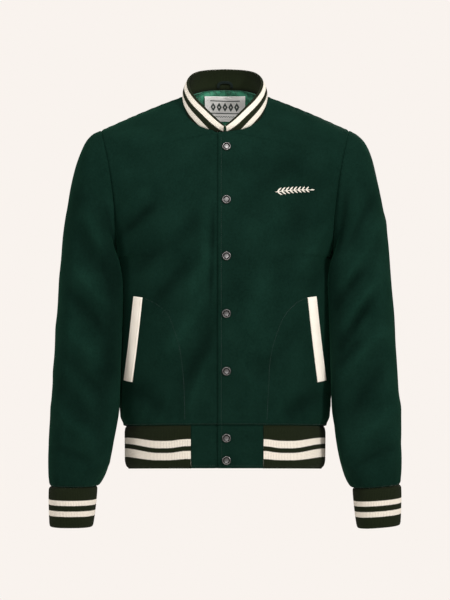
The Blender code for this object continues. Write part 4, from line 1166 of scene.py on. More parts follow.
def group(name, made_by, outputs, **numbers):
    """A node group that takes a vector and numbers: made_by turns them into its outputs, in order."""
    tree = bpy.data.node_groups.new(name, "ShaderNodeTree")
    tree.interface.new_socket("Vector", in_out="INPUT", socket_type="NodeSocketVector")
    for socket, value in numbers.items():
        tree.interface.new_socket(socket, in_out="INPUT", socket_type="NodeSocketFloat").default_value = value
    for socket in outputs:
        tree.interface.new_socket(socket, in_out="OUTPUT", socket_type="NodeSocketFloat")
    given = tree.nodes.new("NodeGroupInput").outputs
    out = tree.nodes.new("NodeGroupOutput")
    for socket, value in zip(outputs, made_by(Graph(tree), *(given[name] for name in ("Vector", *numbers)))):
        tree.links.new(value, out.inputs[socket])
    return tree


def nap(g, place):
    """Brushed wool: slow patches, tufts of 4 mm and single fibres, as a shade and a height."""
    patches = g.noise(place, 21.0, 3.0)
    tufts = g.noise(place, 330.0, 4.0, 0.65)
    fibres = g.noise(place, 1500.0, 3.0, 0.7)
    strands = g.noise(g.stretched(place, (1.0, 1.0, 0.32)), 2300.0, 2.0, 0.6)
    shade = g.math("MULTIPLY_ADD", tufts, 0.45, g.math("MULTIPLY", patches, 0.3))
    shade = g.math("MULTIPLY_ADD", fibres, 0.25, shade)
    height = g.math("MULTIPLY_ADD", fibres, 0.4, g.math("MULTIPLY", tufts, 0.45))
    return shade, g.math("MULTIPLY_ADD", strands, 0.3, height)


def rib_stitches(g, place, course):
    """Rib knit: V-shaped stitches down every rib, and how deep a place lies in the groove between ribs.

    How far a place is from the middle of its rib bends the courses into Vs, raised to the third power it is
    the groove, and to the sixth, counted from the groove, it lowers the middle line of the rib.
    """
    u, v = g.split(place)
    share = g.math("FRACT", g.math("DIVIDE", u, RIB_PITCH * MM))
    off = g.math("MULTIPLY", g.difference(share, 0.5), 2.0)
    groove = g.math("POWER", off, 3.0)
    bent = g.math("ADD", g.math("DIVIDE", v, course), g.math("MULTIPLY", off, 0.55))
    wave = g.math("SINE", g.math("MULTIPLY", bent, 2 * math.pi))
    middle = g.math("SUBTRACT", 1.0, g.math("POWER", g.math("SUBTRACT", 1.0, off), 6.0))
    height = g.math("MULTIPLY", g.math("MULTIPLY_ADD", wave, 0.35, 0.65), middle)
    return g.math("MULTIPLY_ADD", g.noise(place, 2600.0, 3.0, 0.7), 0.35, height), groove, off


def plain_weave(g, place, pitch):
    """Plain weave: the product of two sines, threads crossing over and under, made slightly uneven."""
    uneven = g.math("MULTIPLY", g.noise(place, 240.0), 1.6)
    counts = [g.math("DIVIDE", way, pitch) for way in g.split(place)]
    waves = [g.math("SINE", g.math("MULTIPLY_ADD", count, 2 * math.pi, uneven)) for count in counts]
    crossed = g.math("MULTIPLY", *waves)
    return (g.math("MULTIPLY_ADD", crossed, 0.5, 0.5),)


def finish_of(name, colour, roughness, sheen=0.0, metallic=0.0, **constants):
    """A material with a Principled shader: its graph, and a function that links outputs to it."""
    made = bpy.data.materials.new(name)
    made.use_nodes = True
    g = Graph(made.node_tree)
    shader = made.node_tree.nodes["Principled BSDF"]
    values = {"Base Color": colour, "Roughness": roughness, "Sheen Weight": sheen, "Metallic": metallic}
    values |= {key.replace("_", " ").title().replace("Ior", "IOR"): value for key, value in constants.items()}
    for key, value in values.items():
        shader.inputs[key].default_value = value

    def feed(base, height, depth, strength, rough=None):
        g.tree.links.new(base, shader.inputs["Base Color"])
        bumped = g.add("Bump", {"Height": height, "Distance": depth, "Strength": strength})
        g.tree.links.new(bumped, shader.inputs["Normal"])
        if rough is not None:
            g.tree.links.new(rough, shader.inputs["Roughness"])

    return made, g, feed


def rgb(red, green, blue):
    """A colour as a shader takes it, opaque."""
    return (red, green, blue, 1.0)


NAP = group("wool_nap", nap, ("Shade", "Height"))
KNIT = group("rib_stitches", rib_stitches, ("Height", "Groove", "Lean"), Course=0.0021)
WEAVE = group("plain_weave", plain_weave, ("Height",), Pitch=0.0006)
WOOL_DARK, WOOL_LIGHT = rgb(0.0021, 0.0107, 0.0069), rgb(0.0056, 0.0230, 0.0155)
WOOL_SHEEN = rgb(0.10, 0.55, 0.30)
RIB_DARK, RIB_CREAM = rgb(0.0118, 0.0168, 0.0060), rgb(0.95, 0.87, 0.75)
SATIN_GREEN, SATIN_SHADE = rgb(0.038, 0.27, 0.150), rgb(0.021, 0.165, 0.090)
SATIN_CREASE_SHADE = rgb(0.008, 0.07, 0.038)
INNER_GREEN, INNER_SHADE = rgb(0.03, 0.19, 0.105), rgb(0.012, 0.085, 0.048)
LEATHER_CREAM = rgb(0.86, 0.79, 0.68)
LEATHER_DARK, LEATHER_LIGHT = rgb(0.86, 0.78, 0.66), rgb(0.96, 0.90, 0.80)
LABEL_GROUND, LABEL_INK = rgb(0.97, 0.94, 0.90), rgb(0.02, 0.035, 0.028)
TAPE_MIDDLE = rgb(0.004, 0.009, 0.007)
TAPE_DARK, TAPE_LIGHT = rgb(0.003, 0.006, 0.005), rgb(0.008, 0.016, 0.012)
PEWTER, PEWTER_HOLLOW_SHADE = rgb(0.25, 0.23, 0.22), rgb(0.018, 0.017, 0.016)
PEWTER_DARK, PEWTER_LIGHT = rgb(0.04, 0.038, 0.038), rgb(0.27, 0.26, 0.255)
DARK_THREAD = rgb(0.009, 0.026, 0.020)


def wool_finish():
    """Melton wool: two greens by its nap, with painted light on the ridges of the folds and painted shade in
    their hollows.
    """
    made, g, feed = finish_of(
        "melton_wool", WOOL_LIGHT, 0.95, sheen=0.07, sheen_roughness=0.45, specular_ior_level=0.03,
        sheen_tint=WOOL_SHEEN,
    )
    fibres = g.shared(NAP, g.coordinates("Object"))
    colour = g.blend(g.ramp(fibres["Shade"], 0.34, 0.66), WOOL_DARK, WOOL_LIGHT)
    folds = g.add("Attribute", output=2, attribute_name="fold_height_for_painted_shade")
    # Painted light and shade: the colour is lightened on the ridges of the folds and darkened in their
    # hollows.
    colour = g.dim(colour, g.ramp(folds, -6.0, 6.0, 0.60, 1.42))
    feed(colour, fibres["Height"], depth=0.0006, strength=0.75)
    return made


def satin_finish(name, quilted):
    """Satin: fine weave with a soft sheen; the quilted one is lighter and has thin dark lines of painted
    shade for its creases.
    """
    made, g, feed = finish_of(name, SATIN_GREEN, 0.38, sheen=0.12, specular_ior_level=0.6)
    place = g.coordinates("Object")
    weave = g.shared(WEAVE, g.coordinates("UV"), Pitch=0.0005)
    slow = g.noise(place, 62.0, 4.0)
    height = g.math("MULTIPLY_ADD", slow, 4.0 if quilted else 2.0, weave["Height"])
    low, high = (SATIN_SHADE, SATIN_GREEN) if quilted else (INNER_SHADE, INNER_GREEN)
    colour = g.blend(g.ramp(slow, 0.36, 0.64), low, high)
    if quilted:
        slanted = g.stretched(place, (1.0, 1.0, 0.35), (0.0, 0.5, 0.0))
        # Painted shade: thin dark lines along the creases of the quilted satin.
        crease_shade_line = g.difference(g.noise(slanted, 95.0, 2.0), 0.5)
        colour = g.blend(g.ramp(crease_shade_line, 0.0, 0.045, 0.95, 0.0), colour, SATIN_CREASE_SHADE)
    feed(colour, height, depth=0.00025, strength=0.6, rough=g.ramp(slow, start=0.30, end=0.5))
    return made


def rib_finish(name, edges):
    """Rib knit whose colour changes at the given heights of the band, in millimetres; dark first; painted
    shade darkens the grooves between ribs and painted light brightens the raised stitches.
    """
    made, g, feed = finish_of(name, RIB_DARK, 0.9, sheen=0.03, sheen_roughness=0.5, specular_ior_level=0.08)
    uv = g.coordinates("UV")
    knit = g.shared(KNIT, uv)
    _, v = g.split(uv)
    wobble = g.math("MULTIPLY", g.math("SUBTRACT", g.noise(uv, 420.0), 0.5), 0.0012)
    place = g.math("ADD", g.math("MULTIPLY_ADD", knit["Lean"], 0.0007, v), wobble)
    soft = 0.25
    cream = 0.0
    for low, high in zip(edges[::2], edges[1::2]):
        above = g.ramp(place, (low - soft) * MM, (low + soft) * MM)
        below = g.ramp(place, (high + soft) * MM, (high - soft) * MM)
        cream = g.math("MAXIMUM", cream, g.math("MULTIPLY", above, below))
    # Painted shade in the grooves between the ribs and painted light on the raised stitches of the knit.
    shaded = g.math("MULTIPLY_ADD", knit["Groove"], -0.62, 1.0)
    tone = g.math("MULTIPLY_ADD", knit["Height"], 0.3, g.math("MULTIPLY", shaded, 0.72))
    feed(g.dim(g.blend(cream, RIB_DARK, RIB_CREAM), tone), knit["Height"], depth=0.0005, strength=0.8)
    return made


def leather_finish():
    """Cream leather: pores and a grain as its height, slightly worn in slow patches."""
    made, g, feed = finish_of("cream_leather", LEATHER_CREAM, 0.5, specular_ior_level=0.45)
    place = g.coordinates("Object")
    pores = g.add("TexVoronoi", {"Vector": place, "Scale": 900.0, "Randomness": 1.0})
    colour = g.blend(g.noise(place, 70.0, 3.0), LEATHER_DARK, LEATHER_LIGHT)
    feed(colour, g.math("ADD", pores, g.noise(place, 620.0, 4.0)), depth=0.00018, strength=0.55)
    return made


def label_finish():
    """Woven label: a pale ground with a row of bold lozenges between two bars, and a fine zigzag below.

    A lozenge is where the sum of the shares of its half width and half height lies between 0.3 and 1, a bar
    where the height over the row's middle is near its own, and the zigzag follows a triangle wave.
    """
    made, g, feed = finish_of("woven_label", LABEL_GROUND, 0.62, sheen=0.3)
    uv = g.coordinates("UV")
    u, v = g.split(uv)
    weave = g.shared(WEAVE, uv, Pitch=0.0008)
    from_middle = g.math("SUBTRACT", u, LABEL_HALF_WIDTH * MM)
    inside = g.math("LESS_THAN", g.math("ABSOLUTE", from_middle), MOTIF_HALF_WIDTH * MM)
    up = g.difference(v, LOZENGE_ROW * MM)
    share = g.math("FRACT", g.math("ADD", g.math("DIVIDE", from_middle, LOZENGE_PITCH * MM), 0.5))
    wide = g.math("MULTIPLY", g.difference(share, 0.5), 2.3)
    tall = g.math("ADD", wide, g.math("DIVIDE", up, LOZENGE_HEIGHT * MM))
    lozenge = g.math("MULTIPLY", g.math("LESS_THAN", tall, 1.0), g.math("GREATER_THAN", tall, 0.30))
    bars = g.math("COMPARE", up, BAR_OFFSET * MM, BAR_HALF * MM)
    slant = g.difference(g.math("FRACT", g.math("DIVIDE", u, ZIGZAG_PITCH * MM)), 0.5)
    over = g.math("SUBTRACT", v, ZIGZAG_ROW * MM)
    beside = g.math("SUBTRACT", over, g.math("MULTIPLY", slant, ZIGZAG_RISE * MM))
    zigzag = g.math("COMPARE", beside, 0.0, ZIGZAG_HALF * MM)
    ink = g.math("MULTIPLY", g.math("MAXIMUM", g.math("MAXIMUM", lozenge, bars), zigzag), inside)
    feed(g.blend(ink, LABEL_GROUND, LABEL_INK), weave["Height"], depth=0.0002, strength=0.7)
    return made


def thread_finish(name, colour):
    """Sewing thread, with a slow change of tone along it."""
    made, g, feed = finish_of(name, colour, 0.6, sheen=0.2)
    tone = g.noise(g.coordinates("Object"), 700.0, 2.0)
    dark = tuple(0.6 * part for part in colour[:3]) + (1.0,)
    feed(g.blend(tone, dark, colour), tone, depth=0.0002, strength=0.5)
    return made


def tape_finish():
    """Dark woven tape."""
    made, g, feed = finish_of("loop_tape", TAPE_MIDDLE, 0.85, sheen=0.03, specular_ior_level=0.15)
    weave = g.shared(WEAVE, g.coordinates("UV"), Pitch=0.0007)
    feed(g.blend(weave["Height"], TAPE_DARK, TAPE_LIGHT), weave["Height"], depth=0.0002, strength=0.7)
    return made


def pewter_finish():
    """Antique pewter: cloudy metal, with painted shade in the ring where the cap is hollow."""
    made, g, feed = finish_of("antique_pewter", PEWTER, 0.36, metallic=1.0)
    place = g.coordinates("Object")
    cloud = g.noise(place, 260.0, 4.0, 0.6)
    fine = g.noise(place, 1600.0, 3.0)
    _, out = g.split(g.coordinates("UV"))
    # Painted shade: the ring where the cap is hollow is coloured nearly black.
    groove = g.math("COMPARE", out, 0.0049, 0.0011)
    colour = g.blend(groove, g.blend(cloud, PEWTER_DARK, PEWTER_LIGHT), PEWTER_HOLLOW_SHADE)
    rough = g.ramp(fine, start=0.26, end=0.52)
    feed(colour, g.math("ADD", cloud, fine), depth=0.00012, strength=0.5, rough=rough)
    return made


# ---------------------------------------------------------------- pieces

wool = wool_finish()
body_satin = satin_finish("body_satin", False)
neck_satin = satin_finish("neck_satin", True)
dark_thread = thread_finish("dark_thread", DARK_THREAD)
cream_thread = thread_finish("cream_thread", RIB_CREAM)
pewter = pewter_finish()
leather = leather_finish()

fronts = {side: front_cloth(side) for side in SIDES}
backs = {sign: back_cloth(sign) for sign in SIDES.values()}
sleeves = {side: sleeve_cloth(side) for side in SIDES}


def columns_at(grid, distance, from_end=False):
    """Index of the column whose mean distance from one side of a grid is nearest to a distance."""
    u = along_rows(grid).mean(axis=0)
    return int(np.argmin(np.abs((u[-1] - u if from_end else u) - distance)))


def rows_at(grid, distance, from_end=False):
    """The same for the rows."""
    return columns_at(grid.transpose(1, 0, 2), distance, from_end)


def build_panels():
    """Fronts, back and sleeves: walls between an outer face and the same moved in along its normals."""
    finishes = (wool, body_satin)
    for side, sign in SIDES.items():
        outer, shade = fronts[side]
        patches = shell(outer, outer - WOOL * shade, flip=sign < 0, inside=1)
        front = "front_" + side
        add_piece("front_cloth_" + side, patches, finishes, (front,), CUTS["front"], folds=front)
    patches = []
    for sign, (outer, shade) in backs.items():
        neck = rows_off_centre(outer)
        patches += shell(outer, outer - WOOL * shade, flip=sign < 0, inside=1, closed_rows=neck)
    add_piece("back_cloth", patches, finishes, ("back",), CUTS["back"], folds="back")
    for side, (outer, shade) in sleeves.items():
        patches = shell(outer, outer - WOOL * shade, wrap=True, inside=1)
        sleeve = "sleeve_" + side
        add_piece("sleeve_cloth_" + side, patches, finishes, (sleeve,), CUTS["sleeve"], folds=sleeve)


def hem_swell(drop):
    """How far the rib stands out: tucked in at its seam, its lower edge a quarter circle."""
    past = np.clip(drop - (BAND_HEIGHT - HEM_ROUND), 0.0, 0.97 * HEM_ROUND)
    rounded = HEM_ROUND - np.sqrt(HEM_ROUND**2 - past**2)
    return np.interp(drop, HEM_BAND["drop"], HEM_BAND["swell"]) - 1.0 * bump(drop, 1.8) - rounded


def stripe_lift(line):
    """How much higher the hem's stripes lie than their drops say: at the tabs and at the sides."""
    x = np.abs(line[:, 0])
    return 3.5 * smoothstep(95.0, 62.0, x) * (line[:, 1] < 0) + 8.0 * smoothstep(110.0, 168.0, x)


def build_hem(line):
    """Rib band round the back, from one tab to the other."""
    front = line[:, 1] < FRONT_Y
    keys = mean_keys(line[:, None])
    left = front & (np.arange(len(line)) < len(line) // 2)
    right = front & ~left
    start = np.interp(TAB_END_LEFT - RIB_END, line[left, 0], keys[left])
    stop = np.interp(TAB_END_RIGHT - RIB_END, -line[right, 0][::-1], keys[right][::-1])
    ribs = round((stop - start) / RIB_PITCH)
    at = np.linspace(start, stop, ribs * POINTS_PER_RIB + 1)
    base = read_along(keys, line, at)
    outward = flat_outward(base)
    height = BAND_HEIGHT - RIB / 2

    def face(shares):
        drop = shares[:, None, None] * height
        wave = 0.5 * np.sin(at / 21.0) * np.sin(at / 47.0 + 1.0)
        swell = hem_swell(drop[..., 0]) + wave * np.sin(math.pi * shares[:, None])
        return base + drop * DOWN + swell[..., None] * outward

    def stripes(shares):
        drop = shares[:, None] * height
        return drop + stripe_lift(base) * np.sin(math.pi * shares)[:, None]

    patches = ribbed_band(face, outward, DOWN, height, even_knit, stripes)
    finish = rib_finish("rib_hem", HEM_STRIPES)
    add_piece("hem_knit", patches, (finish,), ("hem_rib",), CUTS["hem_rib"])


def tab_face(line, x_from, x_to, under):
    """Outer face of a wool hem tab, its edges rounded off and stitched, and its outward directions.

    It hangs straight down from the hem seam; its relief is bells at its edges, its seam and its rows of
    stitching, and one slow sine across.
    """
    front = line[line[:, 1] < FRONT_Y]
    front = front[np.argsort(front[:, 0])]
    x = x_from + stations(x_to - x_from, 3.0)
    base = read_along(front[:, 0], front, x)
    outward = flat_outward(base)
    drop = stations(BAND_HEIGHT, 3.0)
    swell = np.interp(drop, HEM_BAND["drop"], HEM_BAND["swell"]) - 0.35
    u, v = np.meshgrid(x - x_from, drop)
    far = x_to - x_from - u
    low = BAND_HEIGHT - v
    free, sewn = (u, far) if not under else (far, u)
    relief = -0.9 * bump(v, 1.2) + 0.35 * bump(v - 4.0, 2.8) - 0.8 * bump(low, 0.8) - 0.8 * bump(free, 0.8)
    relief += seam(sewn, v) - 0.4 * bump(low - HEM_STITCH, 0.75) - 0.4 * bump(free - PLACKET_STITCH, 0.75)
    relief += 0.5 * np.sin(u / 9.0 + 0.5) * np.sin(v / 14.0) * np.sin(math.pi * v / BAND_HEIGHT)
    edge = -LAP - 1.0
    sink = LAP_STEP * smoothstep(edge - LAP_BLEND, edge, base[:, 0]) if under else 0 * x
    grid = base + drop[:, None, None] * DOWN + (swell[:, None] + relief)[..., None] * outward
    grid[..., 1] += sink
    return grid, np.broadcast_to(outward, grid.shape)


def build_tabs(line):
    """The two hem tabs, the wearer's left one over the other; returns their outer faces."""
    made = {}
    spans = {"left": (-LAP, TAB_END_LEFT, False), "right": (-TAB_END_RIGHT, LAP, True)}
    for side, (x_from, x_to, under) in spans.items():
        outer, shade = made[side] = tab_face(line, x_from, x_to, under)
        patches = shell(outer, outer - WOOL * shade)
        tab, cut = "hem_tab_" + side, CUTS["tab_" + side]
        add_piece("hem_tab_cloth_" + side, patches, (wool,), (tab,), cut)
    return made


def ring_powers(theta):
    """Cosine and sine of angles in degrees, each raised to RING_POWER with its sign kept."""
    turn = np.radians(theta)
    return np.stack([power(np.cos(turn), RING_POWER), power(np.sin(turn), RING_POWER)], axis=-1)


def build_cuffs():
    """Rib cuffs: flattened rings that narrow from the sleeve's end to the wrist.

    The columns are spaced evenly along the widest ring, so that every rib is as wide as its neighbours.
    """
    thetas = np.linspace(0.0, 360.0, 721)
    outer_x, inner_x = CUFF["outer_x"][1], CUFF["inner_x"][1]
    radii = ((outer_x - inner_x) / 2, CUFF["half_depth"][1])
    keys = mean_keys(ring_powers(thetas)[:, None] * radii)
    at = np.linspace(0.0, keys[-1], round(keys[-1] / RIB_PITCH) * POINTS_PER_RIB + 1)[:-1]
    cosine, sine = ring_powers(np.interp(at, keys, thetas)).T
    height = CUFF["drop"][-1] - RIB / 2
    finish = rib_finish("rib_cuff", CUFF_STRIPES)
    for side, sign in SIDES.items():

        def face(shares):
            drop = (shares * height)[:, None]
            columns = ("outer_x", "inner_x", "half_depth")
            outer_x, inner_x, deep = (curve(CUFF, "drop", column, drop) for column in columns)
            tuck = 1.0 * bump(drop, 1.8)
            x = (outer_x + inner_x) / 2 + ((outer_x - inner_x) / 2 - tuck) * cosine
            y = SLEEVE["centre_y"][-1] - (deep - tuck) * sine
            z = SLEEVE["outer_z"][-1] - drop + cuff_shift(side, x)
            return np.stack([x, y, z], axis=-1) * (sign, 1.0, 1.0)

        def stripes(shares):
            return np.repeat(shares[:, None] * height, len(at), axis=1)

        middle = face(np.array([0.5]))[0]
        across = np.roll(middle, -1, axis=0) - np.roll(middle, 1, axis=0)
        outward = unit(np.stack([across[:, 1], -across[:, 0], 0 * across[:, 0]], axis=-1))
        outward *= np.sign(np.sum(outward * (middle - middle.mean(axis=0)), axis=-1, keepdims=True))
        patches = ribbed_band(face, outward, DOWN, height, even_knit, stripes, wrap=True)
        cuff, cut = "cuff_" + side, CUTS["cuff"]
        add_piece("cuff_knit_" + side, patches, (finish,), (cuff,), cut)


def build_collar():
    """Stand collar: from the centre front round the neck and back, lower at the front.

    Its face runs straight from the neckline to the collar's top, swollen by the roll's table, and its ends
    are rounded by a quarter circle.
    """
    angle = np.linspace(180.0, 0.0, 361)
    keys = mean_keys(neckline(angle)[:, None])
    ribs = 2 * round(keys[-1] / RIB_PITCH / 2)
    at = np.linspace(0.2, keys[-1], ribs * POINTS_PER_RIB + 1)
    angle = np.interp(at, keys, angle)
    base, top = neckline(angle), neckline(angle, "top")
    normal, _ = neck_frame(angle)
    level = unit(normal * (1.0, 1.0, 0.35))
    base, top, level = (np.concatenate([part, flip_x(part)[-2::-1]]) for part in (base, top, level))
    base[0, 0], base[-1, 0] = 0.2, -0.2
    beside_lap = smoothstep(8.0, 12.0, -base[:, 0]) * smoothstep(24.0, 15.0, -base[:, 0]) * (base[:, 1] < 0)
    base[:, 2] -= 0.9 + 1.3 * beside_lap
    height = np.linalg.norm(top - base, axis=1)
    tallest = height.max()
    mirrored = np.concatenate([at, 2 * at[-1] - at[-2::-1]])
    ends = np.minimum(mirrored, mirrored[-1] - mirrored)
    rounded = 0.9 * (1 - quarter_round(ends))

    def face(shares):
        share = shares[:, None]
        swell = curve(COLLAR_ROLL, "share", "swell", share) - 1.0 * bump(share * tallest, 1.8)
        swell = swell - rounded * smoothstep(0.0, 0.3, share)
        return base + (top - base) * share[..., None] + swell[..., None] * level

    def stripes(shares):
        down = height * (1 - shares[:, None])
        spread = 3.2 * smoothstep(9.0, 19.0, down) * smoothstep(95.0, 10.0, ends)
        # Painted shade: the last 2.3 mm at each end of the collar take the dark colour, where the two ends
        # meet.
        return np.where(ends < 2.3, COLLAR_END_SHADE, down - spread)

    def thinner_above(share):
        return RIB + (RIB / 2 - RIB) * share

    patches = ribbed_band(face, level, unit(top - base), tallest, thinner_above, stripes)
    finish = rib_finish("rib_collar", COLLAR_STRIPES)
    add_piece("collar_knit", patches, (finish,), ("collar",), CUTS["collar"])


def build_lining():
    """Quilted satin behind the neck: lozenges that swell between crossing lines of stitching, and creases.

    The swell is the root of the product of two slanted sines, so it is zero along both sets of lines; the
    creases are finer sines.  Sewn edges and the place under the label stay flat.
    """
    patches = []
    first = len(GRIDS["back"]) - LINING_ROWS
    grid, shade = (part["back"][first:, :LINING_COLUMNS] for part in (GRIDS, SHADES))
    corners = ((LINING_ROWS - BACK_NECK_ROWS - 1, CORNER[:LINING_COLUMNS]),)
    outer, shade = refine(grid, shade, 1.9, corners=corners)
    for sign in SIDES.values():
        mirror = np.array([sign, 1.0, 1.0])
        placed = outer * mirror
        x, z = placed[..., 0], placed[..., 2]
        u, v = along_rows(outer), along_columns(outer)
        slants = [np.abs(np.sin(math.pi * (z + tilt * 1.15 * x) / 34.0)) for tilt in (-1.0, 1.0)]
        pad = 1.5 * np.sqrt(slants[0] * slants[1])
        creases = 0.7 * np.sin(x / 4.1 + 1.6 * np.sin(z / 19.0)) * np.sin(z / 23.0 + 0.8)
        creases += 0.35 * np.sin(x / 2.3 + z / 7.0)
        free = smoothstep(0.0, 12.0, np.minimum(v, v[-1:] - v))
        behind_label = smoothstep(LABEL_HALF_WIDTH + 9.0, LABEL_HALF_WIDTH + 1.0, np.abs(x))
        behind_label = behind_label * smoothstep(LABEL_HEIGHTS[0] - 15.0, LABEL_HEIGHTS[0] - 8.0, z)
        relief = (pad + creases + 0.6) * free * (1 - behind_label)
        sewn = 1.35 * bump(v[-1:] - v, 2.6) + 1.35 * bump(u, 2.6) * smoothstep(0.2, 1.0, outer[:, :1, 0])
        back_face = placed - (SATIN_DEPTH + sewn)[..., None] * shade * mirror
        front_face = placed - (SATIN_DEPTH + sewn + 0.9 + relief)[..., None] * shade * mirror
        neck = rows_off_centre(outer)
        patches += shell(back_face, front_face, flip=sign < 0, inside=1, closed_rows=neck)
    add_piece("neck_satin", patches, (body_satin, neck_satin), ("back_neck_lining",), CUTS["lining"])


def build_label():
    """Woven label on the lining, gently bowed by two sines between the stitches round its edge.

    It is lifted from the back as from a front: both are turned about the level middle line of the body.
    """
    width, height = 2 * LABEL_HALF_WIDTH, LABEL_HEIGHTS[1] - LABEL_HEIGHTS[0]
    u, v = np.meshgrid(*(stations(size, 2.5, near=(0.5, 1.2)) for size in (width, height)))
    x, z = u - LABEL_HALF_WIDTH, v + LABEL_HEIGHTS[0]
    turned_round = np.array([1.0, -1.0, 1.0])
    back = refine(GRIDS["back"] * turned_round, SHADES["back"] * turned_round, 6.0)
    place, normal = lift([np.concatenate([part, flip_x(part)], axis=1) for part in back], x, z)
    place, normal = place * turned_round, unit(normal * turned_round)
    edge = np.minimum(np.minimum(u, width - u), np.minimum(v, height - v))
    bow = (0.8 * np.sin(x / 15.0 + 0.4) + 0.5 * np.sin(z / 9.0)) * smoothstep(0.0, 9.0, edge)
    bow -= 0.3 * bump(edge - 1.4, 0.6)
    depths = (LABEL_DEPTH + LABEL_THICKNESS, LABEL_DEPTH)
    outer, inner = (place - (depth + bow)[..., None] * normal for depth in depths)
    patches = shell(outer, inner, uv=np.stack([u, v], axis=-1))
    add_piece("label_cloth", patches, (label_finish(),), ("neck_label",), CUTS["label"])


def build_loop():
    """Hanger loop: a flat tape bent into an arch of cosine and sine powers, its edges rounded."""
    width, thick = LOOP_TAPE
    turn = np.linspace(0.0, math.pi, 49)
    straight = LOOP_HEIGHT * 0.35
    x = -LOOP_HALF_WIDTH * power(np.cos(turn), LOOP_POWER)
    z = LOOP_FOOT + straight + (LOOP_HEIGHT - straight) * power(np.sin(turn), LOOP_POWER)
    z[[0, -1]] = LOOP_FOOT
    path = np.stack([x, z], axis=-1)
    tangent = unit(np.gradient(path, axis=0))
    outward = np.stack([-tangent[:, 1], tangent[:, 0]], axis=-1)
    turn = 2 * math.pi * np.arange(LOOP_SIDES) / LOOP_SIDES
    across = power(np.cos(turn), 0.35) * width / 2
    forward = thick / 2 + power(np.sin(turn), 0.6) * thick / 2
    flat = path[:, None] + across[:, None] * outward[:, None]
    lean = LOOP_Y - LOOP_LEAN * (flat[..., 1] - LOOP_FOOT) - LOOP_BOW * (flat[..., 0] / LOOP_HALF_WIDTH) ** 2
    grid = np.stack([flat[..., 0], lean - forward, flat[..., 1]], axis=-1)
    add_piece("loop_tape", [closed_tube(grid)], (tape_finish(),), ("hanger_loop",))


def build_welts():
    """Leather welts over the slanted pocket mouths: strips stitched all round, with their stitches.

    A strip follows the cubic through its table; its face is a quarter circle at the edges, with a bell of
    padding along its middle and a groove where it is stitched.
    """
    share = stations(WELT_LENGTH, 4.0, near=(0.5, 1.2, 2.2, 3.4)) / WELT_LENGTH
    across = (stations(WELT_WIDTH, 3.0, near=(0.25, 0.8, 1.6, 2.4, 3.2)) - WELT_WIDTH / 2)[None]
    middle = np.stack([curve(WELT, "share", "x", share), curve(WELT, "share", "z", share)], axis=-1)
    along = unit(np.gradient(middle, axis=0))
    x = middle[:, :1] - across * along[:, 1:]
    z = middle[:, 1:] + across * along[:, :1]
    from_end = (np.minimum(share, 1 - share) * WELT_LENGTH)[:, None]
    edge = np.minimum(WELT_WIDTH / 2 - np.abs(across), from_end)
    height = 0.5 + 1.5 * quarter_round(edge) - 0.35 * bump(edge - WELT_STITCH, 0.6) + 0.45 * bump(across, 4.0)
    for side, sign in SIDES.items():
        place, normal = lift(fronts[side], x * sign, z)
        outer = place + height[..., None] * normal
        patches = shell(outer, place - 0.3 * normal)
        name, cut = "pocket_welt_" + side, CUTS["welt"]
        add_piece("welt_leather_" + side, patches, (leather,), (name,), cut)
        ways = (share * WELT_LENGTH, across[0] + WELT_WIDTH / 2)
        row, column = (int(np.argmin(np.abs(way - WELT_STITCH))) for way in ways)
        path = [(slice(row, -row - 1), column), (-row - 1, slice(column, -column - 1))]
        path += [(slice(-row - 1, row, -1), -column - 1), (row, slice(-column - 1, column, -1))]
        threads = []
        for part in path:
            line = outer[part] + 0.1 * normal[part]
            threads += stitches(line, normal[part], pitch=2.7, length=2.0, radius=0.26)
        add_piece("welt_thread_" + side, threads, (cream_thread,), ())


def build_snaps(tabs):
    """Snap caps: a rolled rim round a dished centre."""
    for number, height in enumerate(SNAP_HEIGHTS + TAB_SNAP_HEIGHTS, start=1):
        cloth = fronts["left"] if number <= len(SNAP_HEIGHTS) else tabs["left"]
        place, normal = lift(cloth, np.array([SNAP_X]), np.array([height]))
        cap = turned(SNAP_CAP, place[0] + SNAP_LIFT * normal[0], normal[0])
        add_piece(f"snap_cap_{number}", [cap], (pewter,), (f"snap_{number}",))


def build_stitching(tabs):
    """Rows of topstitching: placket, hem, pocket bags, cuffs and tabs."""
    left, shade = fronts["left"]
    pit = int(np.argmax(left[:, 0, 0] > -LAP + 1.0)) - 1
    column = columns_at(left[:pit], PLACKET_STITCH)
    threads = stitches(left[3:pit - 2, column], shade[3:pit - 2, column])
    for side, (cloth, shade) in fronts.items():
        row = rows_at(cloth, HEM_STITCH)
        threads += stitches(cloth[row, 2:-1], shade[row, 2:-1])
        bag = pocket_line(side, 120)
        threads += stitches(*lift((cloth, shade), bag[:, 0], bag[:, 1]))
    for cloth, shade in backs.values():
        row = rows_at(cloth, HEM_STITCH)
        threads += stitches(cloth[row], shade[row])
    for cloth, shade in sleeves.values():
        row = rows_at(cloth, CUFF_STITCH, from_end=True)
        threads += stitches(*(np.concatenate([part[row], part[row, :1]]) for part in (cloth, shade)))
    for cloth, shade in tabs.values():
        row = rows_at(cloth, HEM_STITCH, from_end=True)
        threads += stitches(cloth[row, 4:-4], shade[row, 4:-4])
    cloth, shade = tabs["left"]
    column = columns_at(cloth, PLACKET_STITCH)
    threads += stitches(cloth[2:-8, column], shade[2:-8, column])
    add_piece("topstitching", threads, (dark_thread,), ())


